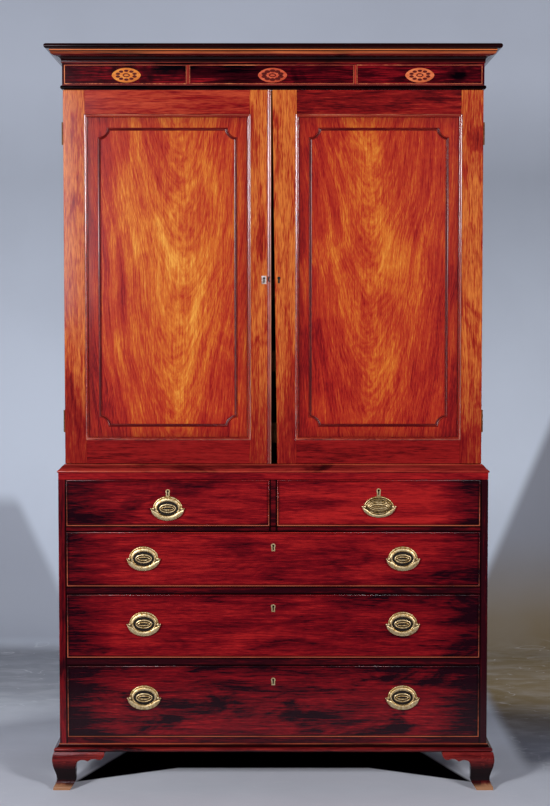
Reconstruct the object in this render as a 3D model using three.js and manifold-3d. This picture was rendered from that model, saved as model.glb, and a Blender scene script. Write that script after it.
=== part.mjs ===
// Late eighteenth century mahogany linen press: a cupboard of sliding trays on a chest of drawers.
// Millimetres, +Z up, the front faces -Y, origin under the middle of the object on the floor.

import * as THREE from "three";
import { mergeVertices } from "three/addons/utils/BufferGeometryUtils.js";
import Module from "manifold-3d";

const wasm = await Module();
wasm.setup();

// Overall sizes
const lowerHalfWidth = 611.5;
const upperSetIn = 18.5;
const upperHalfWidth = lowerHalfWidth - upperSetIn;
const lowerDepth = 560;
const footHeight = 110;
const upperSetBack = 18;
const backReveal = 0.4;

// Timber
const lowerSideThickness = 22;
const upperSideThickness = 20;
const upperBoardThickness = 20;
const backBoardThickness = 11;
const backRebateShare = 0.5;
const backBoardWidth = 190;
const boardGroove = 2;

// Lower case: the baseboard, then drawer openings with rails between them, from the floor up
const plinthInnerHeight = 18;
const plinthBandWidth = 70;
const baseMouldingHeight = 22;
const baseMouldingProjection = 16;
const bottomBoardThickness = 22;
const longOpeningHeights = [206.5, 182.5, 156.5];
const shortOpeningHeight = 133;
const wideRail = 23;
const narrowRail = 16.5;
const railDepth = 62;
const dustBoardThickness = 11;
const lowerTopThickness = 22;
const centreDividerWidth = 21;
const centreDividerDepth = 52;
const guideThickness = 13;

// Waist moulding on the lower case, round the foot of the upper case
const waistProjection = 3.2;
const waistFillet = 4;
const waistHeight = 20.5;

// Drawers
const drawerFrontThickness = 22;
const drawerSideGap = 0.8;
const drawerTopGap = 0.9;
const drawerRunGap = 0.3;
const cockBeadWidth = 3;
const cockBeadProud = 2.2;
const cockBeadRound = 0.8;
const drawerBoxLength = 490;
const drawerBoxSide = 10;
const drawerBoxBack = 10;
const drawerBottomThickness = 7;
const drawerRunnerHeight = 7;
const drawerBoxInset = 1.2;
const drawerBoxDrop = 11;

// Doors
const doorThickness = 23;
const doorBackGap = 0.8;
const doorFootGap = 1.5;
const doorHeadGap = 1.5;
const doorHeight = 1056.5;
const hingeStile = 62;
const doorRail = 70;
const leftMeetingEdge = -5.5;
const rightMeetingEdgeTop = -1.5;
const rightMeetingEdgeFoot = 15;
const leftOpeningEdge = -67;
const rightOpeningEdge = 66;
const astragalWidth = 11;
const astragalProud = 4.2;
const panelThickness = 10;
const panelSink = 6;
const panelTongue = 9;
const panelClearance = 0.3;
const stickingWidth = 6.5;
const stickingProud = 1.6;
const stickingSunk = 4;
const panelBeadInset = 35;
const panelBeadWidth = 9.5;
const panelBeadProud = 4.2;
const panelCornerRadius = 27;

// Butt hinges
const hingeHeight = 64;
const hingeInset = 120;
const knuckleRadius = 3.2;
const knuckleOut = 3.5;
const knuckleCount = 5;
const knuckleGap = 0.3;
const pinRadius = 1.6;
const pinClearance = 0.1;
const leafThickness = 2;
const leafWidth = 17;
const leafBed = 0.3;

// Frieze and cornice, as offsets from the frieze face
const friezeProud = 1.5;
const friezeForward = 4;
const friezeThickness = 20;
const friezeHeight = 73;
const neckBeadHeight = 11;
const neckBeadProud = 5;
const corniceHeight = 50;
const corniceFootFillet = 4.8;
const corniceFootProud = 2;
const coveOut = 13.5;
const coveTop = 17.5;
const ogeeStart = 15;
const ogeeFoot = 18.7;
const ogeeOut = 30;
const ogeeTop = 27;
const coronaOut = 32;
const coronaFoot = 28.6;
const coronaTop = 36;
const noseRoot = 36;
const corniceProjection = 46;

// Sliding linen trays
const trayCount = 3;
const trayFirstHeight = 58;
const trayPitch = 205;
const trayFrontHeight = 92;
const trayFrontDip = 34;
const trayWall = 11;
const trayBase = 8;
const trayDepth = 470;
const traySideGap = 1;
const trayFrontBack = 12;
const runnerHeight = 14;
const runnerDepth = 12;
const runnerFrontBack = 20;

// Ogee bracket feet, as offsets from the case side and lengths from the case corner
const footSwell = 20.5;
const footTopOut = 16.5;
const footWaist = 8.8;
const footToeOut = 18;
const footToeHeight = 8;
const footThickness = 16;
const footWing = 128;
const footAnkle = 46;
const footToeInner = 29;
const footHeel = 23;
const footArchHeight = 91.5;
const footCuspHeight = 84.6;
const footWingLip = 12;
const backFootThickness = 20;

// Oval handles
const handlePlateHalfWidth = 42;
const handlePlateHalfHeight = 35.5;
const handleRows = { shortLeft: 50.4, shortRight: 56.4, long1: 79.5, long2: 97.2, long3: 114.1 };
const shortHandleInset = 311;
const longHandleInset = 242;
const handleAxisOut = 7.6;
const postRadius = 4;
const postReach = 10;
const postSink = 0.5;
const postX = 40.5;
const bailSpan = 46.8;
const bailDrop = 35;
const bailEyeRadius = 2.3;
const bailPinRadius = 1.3;
const bailPinLength = 4.6;
const bailPinClearance = 0.15;
const bailThickness = 2;
const bailBroad = 8.2;
const plateRelief = 4.6;
const oddPlateHalfWidth = 43;
const oddPlateHalfHeight = 29.5;
const oddBailDrop = 31;
const oddBailBroad = 4.6;

// Fineness
const curveSteps = 6;
const ovalSteps = 24;
const roundSteps = 10;
const bailSteps = 14;
const bailSectionSteps = 6;

// Derived levels
const plinthTop = footHeight + plinthInnerHeight;
const bottomBoardTop = plinthTop + bottomBoardThickness;
const railLevels = [];
const openingLevels = [];
{
    let level = bottomBoardTop;
    const rails = [wideRail, wideRail, narrowRail];
    longOpeningHeights.forEach((height, i) => {
        openingLevels.push({ foot: level, head: level + height });
        level += height;
        railLevels.push({ foot: level, head: level + rails[i] });
        level += rails[i];
    });
    openingLevels.push({ foot: level, head: level + shortOpeningHeight });
}
const lowerSideTop = openingLevels.at(-1).head;
const lowerTop = lowerSideTop + lowerTopThickness;
const waistTop = lowerTop + waistHeight;
const doorFoot = waistTop + doorFootGap;
const doorHead = doorFoot + doorHeight;
const upperTop = doorHead + doorHeadGap;
const friezeTop = upperTop + friezeHeight;

// Derived depths: the origin lies halfway from the cornice's nose to the back
const friezeLeads = corniceProjection + friezeForward - upperSetBack;
const lowerFront = (friezeLeads - lowerDepth) / 2;
const backPlane = lowerFront + lowerDepth;
const doorFront = lowerFront + upperSetBack;
const doorBack = doorFront + doorThickness;
const upperFront = doorBack + doorBackGap;
const friezeFront = doorFront - friezeForward;
const friezeHalfWidth = upperHalfWidth + friezeProud;
const backRebate = lowerSideThickness * backRebateShare;
const upperRebate = upperSideThickness * backRebateShare;
const innerBack = backPlane - backBoardThickness - backReveal;
const lowerInnerHalf = lowerHalfWidth - lowerSideThickness;
const upperInnerHalf = upperHalfWidth - upperSideThickness;
const shortHandleX = lowerHalfWidth - shortHandleInset;
const longHandleX = lowerHalfWidth - longHandleInset;

const finishes = {
    mahogany: { color: 0x7a2a18, roughness: 0.32, metalness: 0 },
    figured: { color: 0xb5652a, roughness: 0.28, metalness: 0 },
    crossband: { color: 0x3a1614, roughness: 0.32, metalness: 0 },
    oak: { color: 0xa98558, roughness: 0.7, metalness: 0 },
    pine: { color: 0x8c6f4a, roughness: 0.8, metalness: 0 },
    brass: { color: 0xb08d4a, roughness: 0.35, metalness: 1 },
};

const press = new THREE.Group();

function place(name, finish, geometry) {
    const mesh = new THREE.Mesh(geometry, new THREE.MeshStandardMaterial(finishes[finish]));
    mesh.name = name;
    press.add(mesh);
    return mesh;
}

// A closed shape from corners and triangles, turned so that its faces point out
function closedShape(corners, triangles) {
    let volume = 0;
    const a = new THREE.Vector3();
    const b = new THREE.Vector3();
    const c = new THREE.Vector3();
    for (let i = 0; i < triangles.length; i += 3) {
        a.fromArray(corners, triangles[i] * 3);
        b.fromArray(corners, triangles[i + 1] * 3);
        c.fromArray(corners, triangles[i + 2] * 3);
        volume += a.dot(b.cross(c));
    }
    const geometry = new THREE.BufferGeometry();
    geometry.setAttribute("position", new THREE.Float32BufferAttribute(corners, 3));
    geometry.setIndex(volume < 0 ? triangles.slice().reverse() : triangles);
    return geometry;
}

// The same shape with each corner kept once
function bare(geometry) {
    const copy = geometry.clone();
    copy.deleteAttribute("normal");
    copy.deleteAttribute("uv");
    return mergeVertices(copy);
}

function solidOf(geometry) {
    const merged = bare(geometry);
    return new wasm.Manifold(new wasm.Mesh({
        numProp: 3,
        vertProperties: new Float32Array(merged.attributes.position.array),
        triVerts: new Uint32Array(merged.index.array),
    }));
}

function geometryOf(solid) {
    const mesh = solid.getMesh();
    const geometry = new THREE.BufferGeometry();
    geometry.setAttribute("position", new THREE.Float32BufferAttribute(mesh.vertProperties, 3));
    geometry.setIndex(new THREE.Uint32BufferAttribute(mesh.triVerts, 1));
    return geometry;
}

const joined = (...shapes) => geometryOf(shapes.map(solidOf).reduce((sum, shape) => sum.add(shape)));

function cut(shape, ...tools) {
    return geometryOf(tools.map(solidOf).reduce((rest, tool) => rest.subtract(tool), solidOf(shape)));
}

// A board between two opposite corners
function board(low, high) {
    const size = high.map((value, i) => value - low[i]);
    const middle = high.map((value, i) => (value + low[i]) / 2);
    return new THREE.BoxGeometry(...size).translate(...middle);
}

// An outline of [x, z] points carried from one depth to another
function carriedInY(outline, front, back) {
    const shape = new THREE.Shape(outline.map(([x, z]) => new THREE.Vector2(x, z)));
    const geometry = new THREE.ExtrudeGeometry(shape, { depth: back - front, bevelEnabled: false });
    return geometry.rotateX(Math.PI / 2).translate(0, back, 0);
}

// An outline of [x, y] points carried from one level to another
function carriedInZ(outline, foot, head) {
    const shape = new THREE.Shape(outline.map(([x, y]) => new THREE.Vector2(x, y)));
    const geometry = new THREE.ExtrudeGeometry(shape, { depth: head - foot, bevelEnabled: false });
    return geometry.translate(0, 0, foot);
}

// An outline of [y, z] points carried from left to right
function carriedInX(outline, left, right) {
    const shape = new THREE.Shape(outline.map(([y, z]) => new THREE.Vector2(y, z)));
    const geometry = new THREE.ExtrudeGeometry(shape, { depth: right - left, bevelEnabled: false });
    return geometry.rotateY(Math.PI / 2).rotateX(Math.PI / 2).translate(left, 0, 0);
}

// Rings of equal length joined in order, with the two ends closed flat
function skinned(rings, closed) {
    const count = rings[0].length;
    const corners = rings.flat(2);
    const triangles = [];
    const spans = closed ? rings.length : rings.length - 1;
    for (let r = 0; r < spans; r++) {
        const next = (r + 1) % rings.length;
        for (let i = 0; i < count; i++) {
            const j = (i + 1) % count;
            const [p, q] = [r * count + i, r * count + j];
            const [s, t] = [next * count + i, next * count + j];
            triangles.push(p, q, t, p, t, s);
        }
    }
    if (!closed) {
        const capped = (ring, offset, flip) => {
            const points = ring.map((point) => new THREE.Vector3(...point));
            const normal = new THREE.Vector3();
            points.forEach((point, i) => normal.add(point.clone().cross(points[(i + 1) % count])));
            const turn = new THREE.Quaternion().setFromUnitVectors(
                normal.normalize(), new THREE.Vector3(0, 0, 1));
            const flat = points.map((point) => {
                const turned = point.clone().applyQuaternion(turn);
                return new THREE.Vector2(turned.x, turned.y);
            });
            for (const [a, b, c] of THREE.ShapeUtils.triangulateShape(flat, [])) {
                triangles.push(...(flip ? [a, c, b] : [a, b, c]).map((v) => v + offset));
            }
        };
        capped(rings[0], 0, true);
        capped(rings.at(-1), count * (rings.length - 1), false);
    }
    return closedShape(corners, triangles);
}

// A moulding mitred round the two sides and the front. A point is [out, z] or [out, z, out at the front].
function mitredRound(profile, halfWidth, front, back) {
    const station = (place) => profile.map(([out, z, frontOut = out]) => place(out, frontOut, z));
    return skinned([
        station((out, frontOut, z) => [-halfWidth - out, back, z]),
        station((out, frontOut, z) => [-halfWidth - out, front - frontOut, z]),
        station((out, frontOut, z) => [halfWidth + out, front - frontOut, z]),
        station((out, frontOut, z) => [halfWidth + out, back, z]),
    ], false);
}

// Points on a quarter turn from one angle to another, both in quarter turns
function arc(x, y, radiusX, radiusY, from, to, steps = curveSteps) {
    return Array.from({ length: steps + 1 }, (_, i) => {
        const turn = (from + (to - from) * i / steps) * Math.PI / 2;
        return [x + radiusX * Math.cos(turn), y + radiusY * Math.sin(turn)];
    });
}

// A smooth line through chosen points
function flowing(points, steps) {
    const curve = new THREE.SplineCurve(points.map(([x, y]) => new THREE.Vector2(x, y)));
    return curve.getPoints(steps).map((point) => [point.x, point.y]);
}

// Case sides: a plan outline with the rebate that takes the back boards
function caseSide(side, halfWidth, thickness, rebate, front, foot, head) {
    const inner = halfWidth - thickness;
    const outline = [
        [halfWidth, front], [halfWidth, backPlane],
        [halfWidth - rebate, backPlane], [halfWidth - rebate, innerBack], [inner, innerBack], [inner, front],
    ];
    return carriedInZ(outline.map(([x, y]) => [x * side, y]), foot, head);
}

// Back boards stand side by side with a V groove at each joint
function backBoards(halfWidth, foot, head) {
    const rear = backPlane - backReveal;
    const outline = [[-halfWidth, innerBack], [halfWidth, innerBack], [halfWidth, rear]];
    const joints = Math.floor(halfWidth / backBoardWidth);
    for (let i = joints; i >= -joints; i--) {
        const x = i * backBoardWidth;
        outline.push([x + boardGroove, rear], [x, rear - boardGroove], [x - boardGroove, rear]);
    }
    outline.push([-halfWidth, rear]);
    return carriedInZ(outline, foot, head);
}

// Upper case
const trayLevels = Array.from({ length: trayCount }, (_, i) => waistTop + trayFirstHeight + i * trayPitch);
const sides = [["left", -1], ["right", 1]];
const hingeLevels = [["upper", doorHead - hingeInset], ["lower", doorFoot + hingeInset]];

// The bed cut for a hinge leaf, a little larger than the leaf
function leafCut(side, level, front, back) {
    const half = hingeHeight / 2 + leafBed;
    const inner = upperHalfWidth - leafWidth - leafBed;
    const xs = [side * inner, side * (upperHalfWidth + leafBed)].sort((a, b) => a - b);
    return board([xs[0], front, level - half], [xs[1], back, level + half]);
}

for (const [word, side] of sides) {
    const plain = caseSide(
        side, upperHalfWidth, upperSideThickness, upperRebate, upperFront, lowerTop, upperTop);
    const runners = trayLevels.map((level) => {
        const xs = [side * upperInnerHalf, side * (upperInnerHalf - runnerDepth)];
        const low = Math.min(...xs) - (side > 0 ? 0 : boardGroove);
        const high = Math.max(...xs) + (side > 0 ? boardGroove : 0);
        const front = upperFront + runnerFrontBack;
        return board([low, front, level - runnerHeight], [high, innerBack - backReveal, level]);
    });
    const beds = hingeLevels.map(([, level]) => {
        return leafCut(side, level, upperFront - leafBed, upperFront + leafThickness + leafBed);
    });
    place(`upper_side_${word}`, "mahogany", cut(joined(plain, ...runners), ...beds));
}

place("upper_top_board", "pine", board(
    [-upperInnerHalf, upperFront, upperTop - upperBoardThickness], [upperInnerHalf, innerBack, upperTop]));
place("upper_bottom_board", "pine", board(
    [-upperInnerHalf, upperFront, lowerTop], [upperInnerHalf, innerBack, waistTop]));
place("upper_back_boards", "pine", backBoards(
    upperHalfWidth - upperRebate - backReveal, lowerTop, upperTop));

// Frieze frame with the neck bead worked along its foot
const neckBead = arc(0, upperTop + neckBeadHeight / 2, neckBeadProud, neckBeadHeight / 2, -1, 1);
place("frieze", "crossband", mitredRound([
    [-friezeThickness, upperTop], ...neckBead, [0, friezeTop], [-friezeThickness, friezeTop],
], friezeHalfWidth, friezeFront, backPlane));

// Cornice: fillet, cove, ogee, corona fillet and a round nose, with a hollow behind
const noseHeight = corniceHeight - coronaTop;
const cornicePoints = [
    [-friezeThickness, 0], [corniceFootProud, 0], [corniceFootProud, corniceFootFillet],
    ...arc(coveOut, corniceFootFillet, coveOut - corniceFootProud, coveTop - corniceFootFillet, 2, 1),
    [ogeeStart, ogeeFoot],
    ...arc(ogeeStart, ogeeTop, ogeeOut - ogeeStart, ogeeTop - ogeeFoot, -1, 0).slice(1),
    [coronaOut, coronaFoot], [coronaOut, coronaTop], [noseRoot, coronaTop],
    ...arc(corniceProjection - noseHeight / 2, coronaTop + noseHeight / 2, noseHeight / 2, noseHeight / 2,
        -1, 1),
    [-friezeThickness, corniceHeight],
];
place("cornice_moulding", "mahogany", mitredRound(
    cornicePoints.map(([out, up]) => [out, friezeTop + up]), friezeHalfWidth, friezeFront, backPlane));

// Linen trays: an open oak tray with a low dipped front
const trayHalf = upperInnerHalf - traySideGap;
const trayFront = upperFront + trayFrontBack;
trayLevels.forEach((level, i) => {
    const foot = level + drawerRunGap;
    const head = foot + trayFrontHeight;
    const tray = board([-trayHalf, trayFront, foot], [trayHalf, trayFront + trayDepth, head]);
    const hollow = board(
        [-trayHalf + trayWall, trayFront + trayWall, foot + trayBase],
        [trayHalf - trayWall, trayFront + trayDepth - trayWall, head + trayWall]);
    const low = head - trayFrontDip;
    const dipHalf = trayHalf - trayWall * 4;
    const dip = carriedInY([
        [-dipHalf, head + trayWall], [-dipHalf, head],
        ...arc(-dipHalf + trayFrontDip, head, trayFrontDip, trayFrontDip, -2, -1),
        ...arc(dipHalf - trayFrontDip, head, trayFrontDip, trayFrontDip, -1, 0),
        [dipHalf, head + trayWall],
    ].map(([x, z]) => [x, Math.max(z, low)]), trayFront - trayWall, trayFront + trayWall * 2);
    place(`linen_tray_${i + 1}`, "oak", cut(tray, hollow, dip));
});

// Lower case
for (const [word, side] of sides) {
    place(`lower_side_${word}`, "mahogany", caseSide(
        side, lowerHalfWidth, lowerSideThickness, backRebate, lowerFront, plinthTop, lowerSideTop));
}
place("lower_back_boards", "pine", backBoards(
    lowerHalfWidth - backRebate - backReveal, plinthTop, lowerSideTop));

// Top board with the ogee waist moulding planted round the foot of the upper case
const waistSideIn = upperSetIn - backReveal;
const waistFrontIn = upperFront - lowerFront - backReveal;
const waistRoot = lowerTop - waistFillet;
const waistShares = {
    lowIn: 0.3, lowUp: 0.32, midIn: 0.42, midUp: 0.6, highIn: 0.78, highUp: 0.86, lipIn: 0.86,
};
const waistCurve = flowing([
    [waistProjection, lowerTop + waistFillet / 2],
    [waistProjection - waistSideIn * waistShares.lowIn, lowerTop + waistHeight * waistShares.lowUp],
    [-waistSideIn * waistShares.midIn, lowerTop + waistHeight * waistShares.midUp],
    [-waistSideIn * waistShares.highIn, lowerTop + waistHeight * waistShares.highUp],
    [-waistSideIn * waistShares.lipIn, waistTop],
], curveSteps);
place("lower_top", "mahogany", joined(
    board([-lowerHalfWidth, lowerFront, lowerSideTop], [lowerHalfWidth, backPlane, lowerTop]),
    mitredRound([
        [-waistSideIn, waistRoot, -waistFrontIn], [0, waistRoot], [0, lowerTop - waistFillet / 2],
        [waistProjection, lowerTop - waistFillet / 2], ...waistCurve,
        [-waistSideIn, waistTop, -waistFrontIn],
    ], lowerHalfWidth, lowerFront, backPlane)));

// Bottom board on a base frame whose outer edge is the base moulding
const baseShares = { torusFoot: 0.08, torusTop: 0.45, torusOut: 0.72, under: 0.85, neck: 0.75, cove: 0.7 };
const torusFoot = footHeight + baseMouldingHeight * baseShares.torusFoot;
const torusTop = footHeight + baseMouldingHeight * baseShares.torusTop;
const torusOut = baseMouldingProjection * baseShares.torusOut;
place("lower_bottom", "mahogany", joined(
    board(
        [-lowerInnerHalf, lowerFront, plinthTop - boardGroove], [lowerInnerHalf, innerBack, bottomBoardTop]),
    mitredRound([
        [-plinthBandWidth, footHeight], [baseMouldingProjection * baseShares.under, footHeight],
        [torusOut, torusFoot],
        ...arc(torusOut, (torusFoot + torusTop) / 2, baseMouldingProjection - torusOut,
            (torusTop - torusFoot) / 2, -1, 1),
        [torusOut * baseShares.neck, torusTop],
        ...arc(torusOut * baseShares.neck, footHeight + baseMouldingHeight, torusOut * baseShares.cove,
            footHeight + baseMouldingHeight - torusTop - boardGroove, -1, -2).slice(0, -1),
        [0, footHeight + baseMouldingHeight], [0, plinthTop], [-plinthBandWidth, plinthTop],
    ], lowerHalfWidth, lowerFront, backPlane)));

// Drawer rails, each with its dust board behind
function railOutline({ foot, head }) {
    const rear = lowerFront + railDepth;
    return [
        [lowerFront, foot], [rear, foot], [rear, head - dustBoardThickness],
        [innerBack, head - dustBoardThickness], [innerBack, head], [lowerFront, head],
    ];
}
const dividers = railLevels.map((level) => {
    return carriedInX(railOutline(level), -lowerInnerHalf, lowerInnerHalf);
});
const partition = carriedInZ([
    [-centreDividerWidth / 2, lowerFront], [centreDividerWidth / 2, lowerFront],
    [centreDividerWidth / 2, lowerFront + centreDividerDepth],
    [guideThickness / 2, lowerFront + centreDividerDepth], [guideThickness / 2, innerBack],
    [-guideThickness / 2, innerBack], [-guideThickness / 2, lowerFront + centreDividerDepth],
    [-centreDividerWidth / 2, lowerFront + centreDividerDepth],
], railLevels.at(-1).head - dustBoardThickness / 2, lowerSideTop);
place("drawer_divider_3", "mahogany", dividers[0]);
place("drawer_divider_2", "mahogany", dividers[1]);
place("drawer_divider_1", "mahogany", joined(dividers[2], partition));

// A drawer front: nested rectangles give the slab with its cock bead standing proud round the edge
function drawerFront(left, right, foot, head) {
    const ring = (inset, y) => [
        [left + inset, y, foot + inset], [right - inset, y, foot + inset],
        [right - inset, y, head - inset], [left + inset, y, head - inset],
    ];
    const proud = lowerFront - cockBeadProud;
    const inner = cockBeadWidth - cockBeadRound;
    return skinned([
        ring(0, lowerFront + drawerFrontThickness), ring(0, proud + cockBeadRound),
        ring(cockBeadRound, proud), ring(inner, proud), ring(cockBeadWidth, proud + cockBeadRound),
        ring(cockBeadWidth, lowerFront),
    ], false);
}

// A drawer box: sides and a bottom set up between them as one section, with a back across the end
function drawerBox(left, right, foot, head) {
    const front = lowerFront + drawerFrontThickness;
    const rear = front + drawerBoxLength;
    const floorFoot = foot + drawerRunnerHeight;
    const floorHead = floorFoot + drawerBottomThickness;
    const section = [
        [left, foot], [left + drawerBoxSide, foot], [left + drawerBoxSide, floorFoot],
        [right - drawerBoxSide, floorFoot], [right - drawerBoxSide, foot], [right, foot],
        [right, head], [right - drawerBoxSide, head], [right - drawerBoxSide, floorHead],
        [left + drawerBoxSide, floorHead], [left + drawerBoxSide, head], [left, head],
    ];
    const back = board(
        [left + drawerBoxSide / 2, rear - drawerBoxBack, floorFoot + drawerBottomThickness / 2],
        [right - drawerBoxSide / 2, rear, head - drawerBoxSide / 2]);
    return joined(carriedInY(section, front, rear), back);
}

const shortHalfGap = centreDividerWidth / 2 + drawerSideGap;
const outerReach = lowerInnerHalf - drawerSideGap;
const drawers = [
    { name: "long_3", left: -outerReach, right: outerReach, level: 0, row: handleRows.long3 },
    { name: "long_2", left: -outerReach, right: outerReach, level: 1, row: handleRows.long2 },
    { name: "long_1", left: -outerReach, right: outerReach, level: 2, row: handleRows.long1 },
    { name: "short_left", left: -outerReach, right: -shortHalfGap, level: 3, row: handleRows.shortLeft },
    { name: "short_right", left: shortHalfGap, right: outerReach, level: 3, row: handleRows.shortRight },
];
for (const { name, left, right, level } of drawers) {
    const { foot, head } = openingLevels[level];
    const low = foot + drawerRunGap;
    const high = head - drawerTopGap;
    place(`drawer_${name}_front`, "mahogany", drawerFront(left, right, low, high));
    place(`drawer_${name}_box`, "oak", drawerBox(
        left + drawerBoxInset, right - drawerBoxInset, low, high - drawerBoxDrop));
}

// Ogee bracket feet. The section is a line from the top round the swell and the ankle to the toe.
const footLevelShares = { swell: 0.81, shoulder: 0.56, waistHead: 0.34, waistFoot: 0.22 };
const footSection = [
    [-footThickness, 0], [-footThickness, footHeight],
    ...flowing([
        [footTopOut, footHeight], [footSwell, footHeight * footLevelShares.swell],
        [footTopOut, footHeight * footLevelShares.shoulder],
        [footWaist, footHeight * footLevelShares.waistHead],
        [footWaist, footHeight * footLevelShares.waistFoot],
        [footToeOut, footToeHeight],
    ], curveSteps * 2),
    [footToeOut, 0],
];

// What is sawn away under a wing, as lengths from the case corner and heights
const ankleShares = { heel: 0.97, foot: 0.3, head: 0.55, turn: 0.04, turnHeight: 0.95 };
const archShares = { first: 0.5, cuspStart: 0.625, cuspEnd: 0.635, second: 0.77, dip: 0.87, lip: 0.94 };
const reachShare = 1.4;
function wingWaste() {
    const reach = footWing * reachShare;
    const below = -footHeel;
    return [
        [footToeInner, below], [footToeInner, 0], [footAnkle * ankleShares.heel, footHeel],
        ...flowing([
            [footAnkle, footHeight * ankleShares.foot], [footAnkle, footHeight * ankleShares.head],
            [footAnkle + footHeight * ankleShares.turn, footCuspHeight * ankleShares.turnHeight],
            [footWing * archShares.first, footArchHeight - boardGroove],
            [footWing * archShares.cuspStart, footCuspHeight],
        ], curveSteps * 2),
        ...flowing([
            [footWing * archShares.cuspEnd, footCuspHeight], [footWing * archShares.second, footArchHeight],
            [footWing * archShares.dip, footArchHeight - boardGroove * 2],
            [footWing * archShares.lip, footArchHeight - boardGroove],
            [footWing, footHeight - footWingLip],
        ], curveSteps),
        [footWing, footHeight + footHeel], [reach, footHeight + footHeel], [reach, below],
    ];
}

// One arm of a foot, with its mitred corner at the case corner, running inwards along X
function footArm(section, length) {
    return skinned([
        section.map(([out, z]) => [-out, -out, z]),
        section.map(([out, z]) => [length, -out, z]),
    ], false);
}
const swap = (geometry) => {
    const position = geometry.attributes.position;
    const corners = [];
    for (let i = 0; i < position.count; i++) {
        corners.push(position.getY(i), position.getX(i), position.getZ(i));
    }
    return closedShape(corners, Array.from(geometry.index.array));
};

const armShare = 1.2;
const wingCut = bare(carriedInY(wingWaste(), -footSwell * 2, footThickness * 2));
const ogeeArm = cut(footArm(footSection, footWing * armShare), wingCut);
const plainSection = [
    [-backFootThickness, 0], [-backFootThickness, footHeight], [0, footHeight], [0, 0],
];

function mirrored(geometry, signX, signY, x, y) {
    const position = geometry.attributes.position;
    const corners = [];
    for (let i = 0; i < position.count; i++) {
        corners.push(x + signX * position.getX(i), y + signY * position.getY(i), position.getZ(i));
    }
    return closedShape(corners, Array.from(geometry.index.array));
}

const plainArm = cut(
    skinned([
        plainSection.map(([out, z]) => [footThickness / 5, -out, z]),
        plainSection.map(([out, z]) => [footWing * armShare, -out, z]),
    ], false), wingCut);
const squareEnd = board(
    [-footSwell * 2, -footSwell * 2, -footHeel], [footSwell * 2, 0, footHeight + footHeel]);
const sideArmAtBack = cut(
    skinned([
        footSection.map(([out, z]) => [-footSwell * 2, -out, z]),
        footSection.map(([out, z]) => [footWing * armShare, -out, z]),
    ], false), wingCut);
const frontFoot = joined(ogeeArm, swap(ogeeArm));
const backFoot = joined(cut(swap(sideArmAtBack), squareEnd), plainArm);
for (const [word, side] of sides) {
    place(`foot_front_${word}`, "mahogany", mirrored(
        frontFoot, -side, 1, side * lowerHalfWidth, lowerFront));
    place(`foot_back_${word}`, "mahogany", mirrored(
        backFoot, -side, -1, side * lowerHalfWidth, backPlane));
}

// Doors. The frame has a groove for its panel and a small moulding worked round the opening.
function doorFrame(side, meetingTop, meetingFoot, openingMeeting) {
    const outer = side * upperHalfWidth;
    const openingHinge = side * (upperHalfWidth - hingeStile);
    const [openLeft, openRight] = [openingHinge, openingMeeting].sort((a, b) => a - b);
    const openFoot = doorFoot + doorRail;
    const openHead = doorHead - doorRail;
    const slab = carriedInY(
        [[outer, doorFoot], [meetingFoot, doorFoot], [meetingTop, doorHead], [outer, doorHead]],
        doorFront, doorBack);
    const hole = board(
        [openLeft, doorFront - doorThickness, openFoot], [openRight, doorBack + doorThickness, openHead]);
    const grow = panelTongue + panelClearance;
    const grooveFront = doorFront + panelSink - panelClearance;
    const groove = board(
        [openLeft - grow, grooveFront, openFoot - grow],
        [openRight + grow, grooveFront + panelThickness + panelClearance * 2, openHead + grow]);
    const beds = hingeLevels.map(([, level]) => {
        return leafCut(side, level, doorBack - leafThickness - leafBed, doorBack + leafBed);
    });
    const ring = (inset, y) => [
        [openLeft + inset, y, openFoot + inset], [openRight - inset, y, openFoot + inset],
        [openRight - inset, y, openHead - inset], [openLeft + inset, y, openHead - inset],
    ];
    const half = stickingWidth / 2;
    const sticking = skinned([
        ring(-half, doorFront + stickingSunk), ring(-half, doorFront - stickingProud / 2),
        ring(-half / 2, doorFront - stickingProud), ring(half / 2, doorFront - stickingProud),
        ring(half, doorFront), ring(half, doorFront + stickingSunk),
    ], true);
    const frame = cut(slab, hole, groove, ...beds);
    return { frame: joined(frame, sticking), openLeft, openRight, openFoot, openHead };
}

// A closed line of points pushed sideways by a distance, square to the line at each point
function pushed(outline, distance) {
    return outline.map(([x, z], i) => {
        const [px, pz] = outline[(i + outline.length - 1) % outline.length];
        const [nx, nz] = outline[(i + 1) % outline.length];
        const before = new THREE.Vector2(x - px, z - pz).normalize();
        const after = new THREE.Vector2(nx - x, nz - z).normalize();
        const square = new THREE.Vector2(before.y + after.y, -before.x - after.x).normalize();
        const spread = square.dot(new THREE.Vector2(before.y, -before.x));
        return [x - square.x * distance / spread, z - square.y * distance / spread];
    });
}

// The raised bead on a panel: a rectangle whose corners are cut back by quarter rounds. A row of its
// section is a share of the width and a share of how proud it stands.
const beadShares = [[0, 0.45], [0.2, 1], [0.5, 0.8], [0.65, 0.35], [1, 0.25]];
function panelBead({ openLeft, openRight, openFoot, openHead }, face) {
    const [left, right] = [openLeft + panelBeadInset, openRight - panelBeadInset];
    const [foot, head] = [openFoot + panelBeadInset, openHead - panelBeadInset];
    const r = panelCornerRadius;
    const outline = [
        ...arc(left, foot, r, r, 1, 0), ...arc(right, foot, r, r, 2, 1),
        ...arc(right, head, r, r, 3, 2), ...arc(left, head, r, r, 4, 3),
    ];
    const rows = [
        [0, face + panelTongue / 4],
        ...beadShares.map(([across, proud]) => [panelBeadWidth * across, face - panelBeadProud * proud]),
        [panelBeadWidth, face + panelTongue / 4],
    ];
    return skinned(rows.map(([inset, y]) => pushed(outline, inset).map(([x, z]) => [x, y, z])), true);
}

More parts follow.
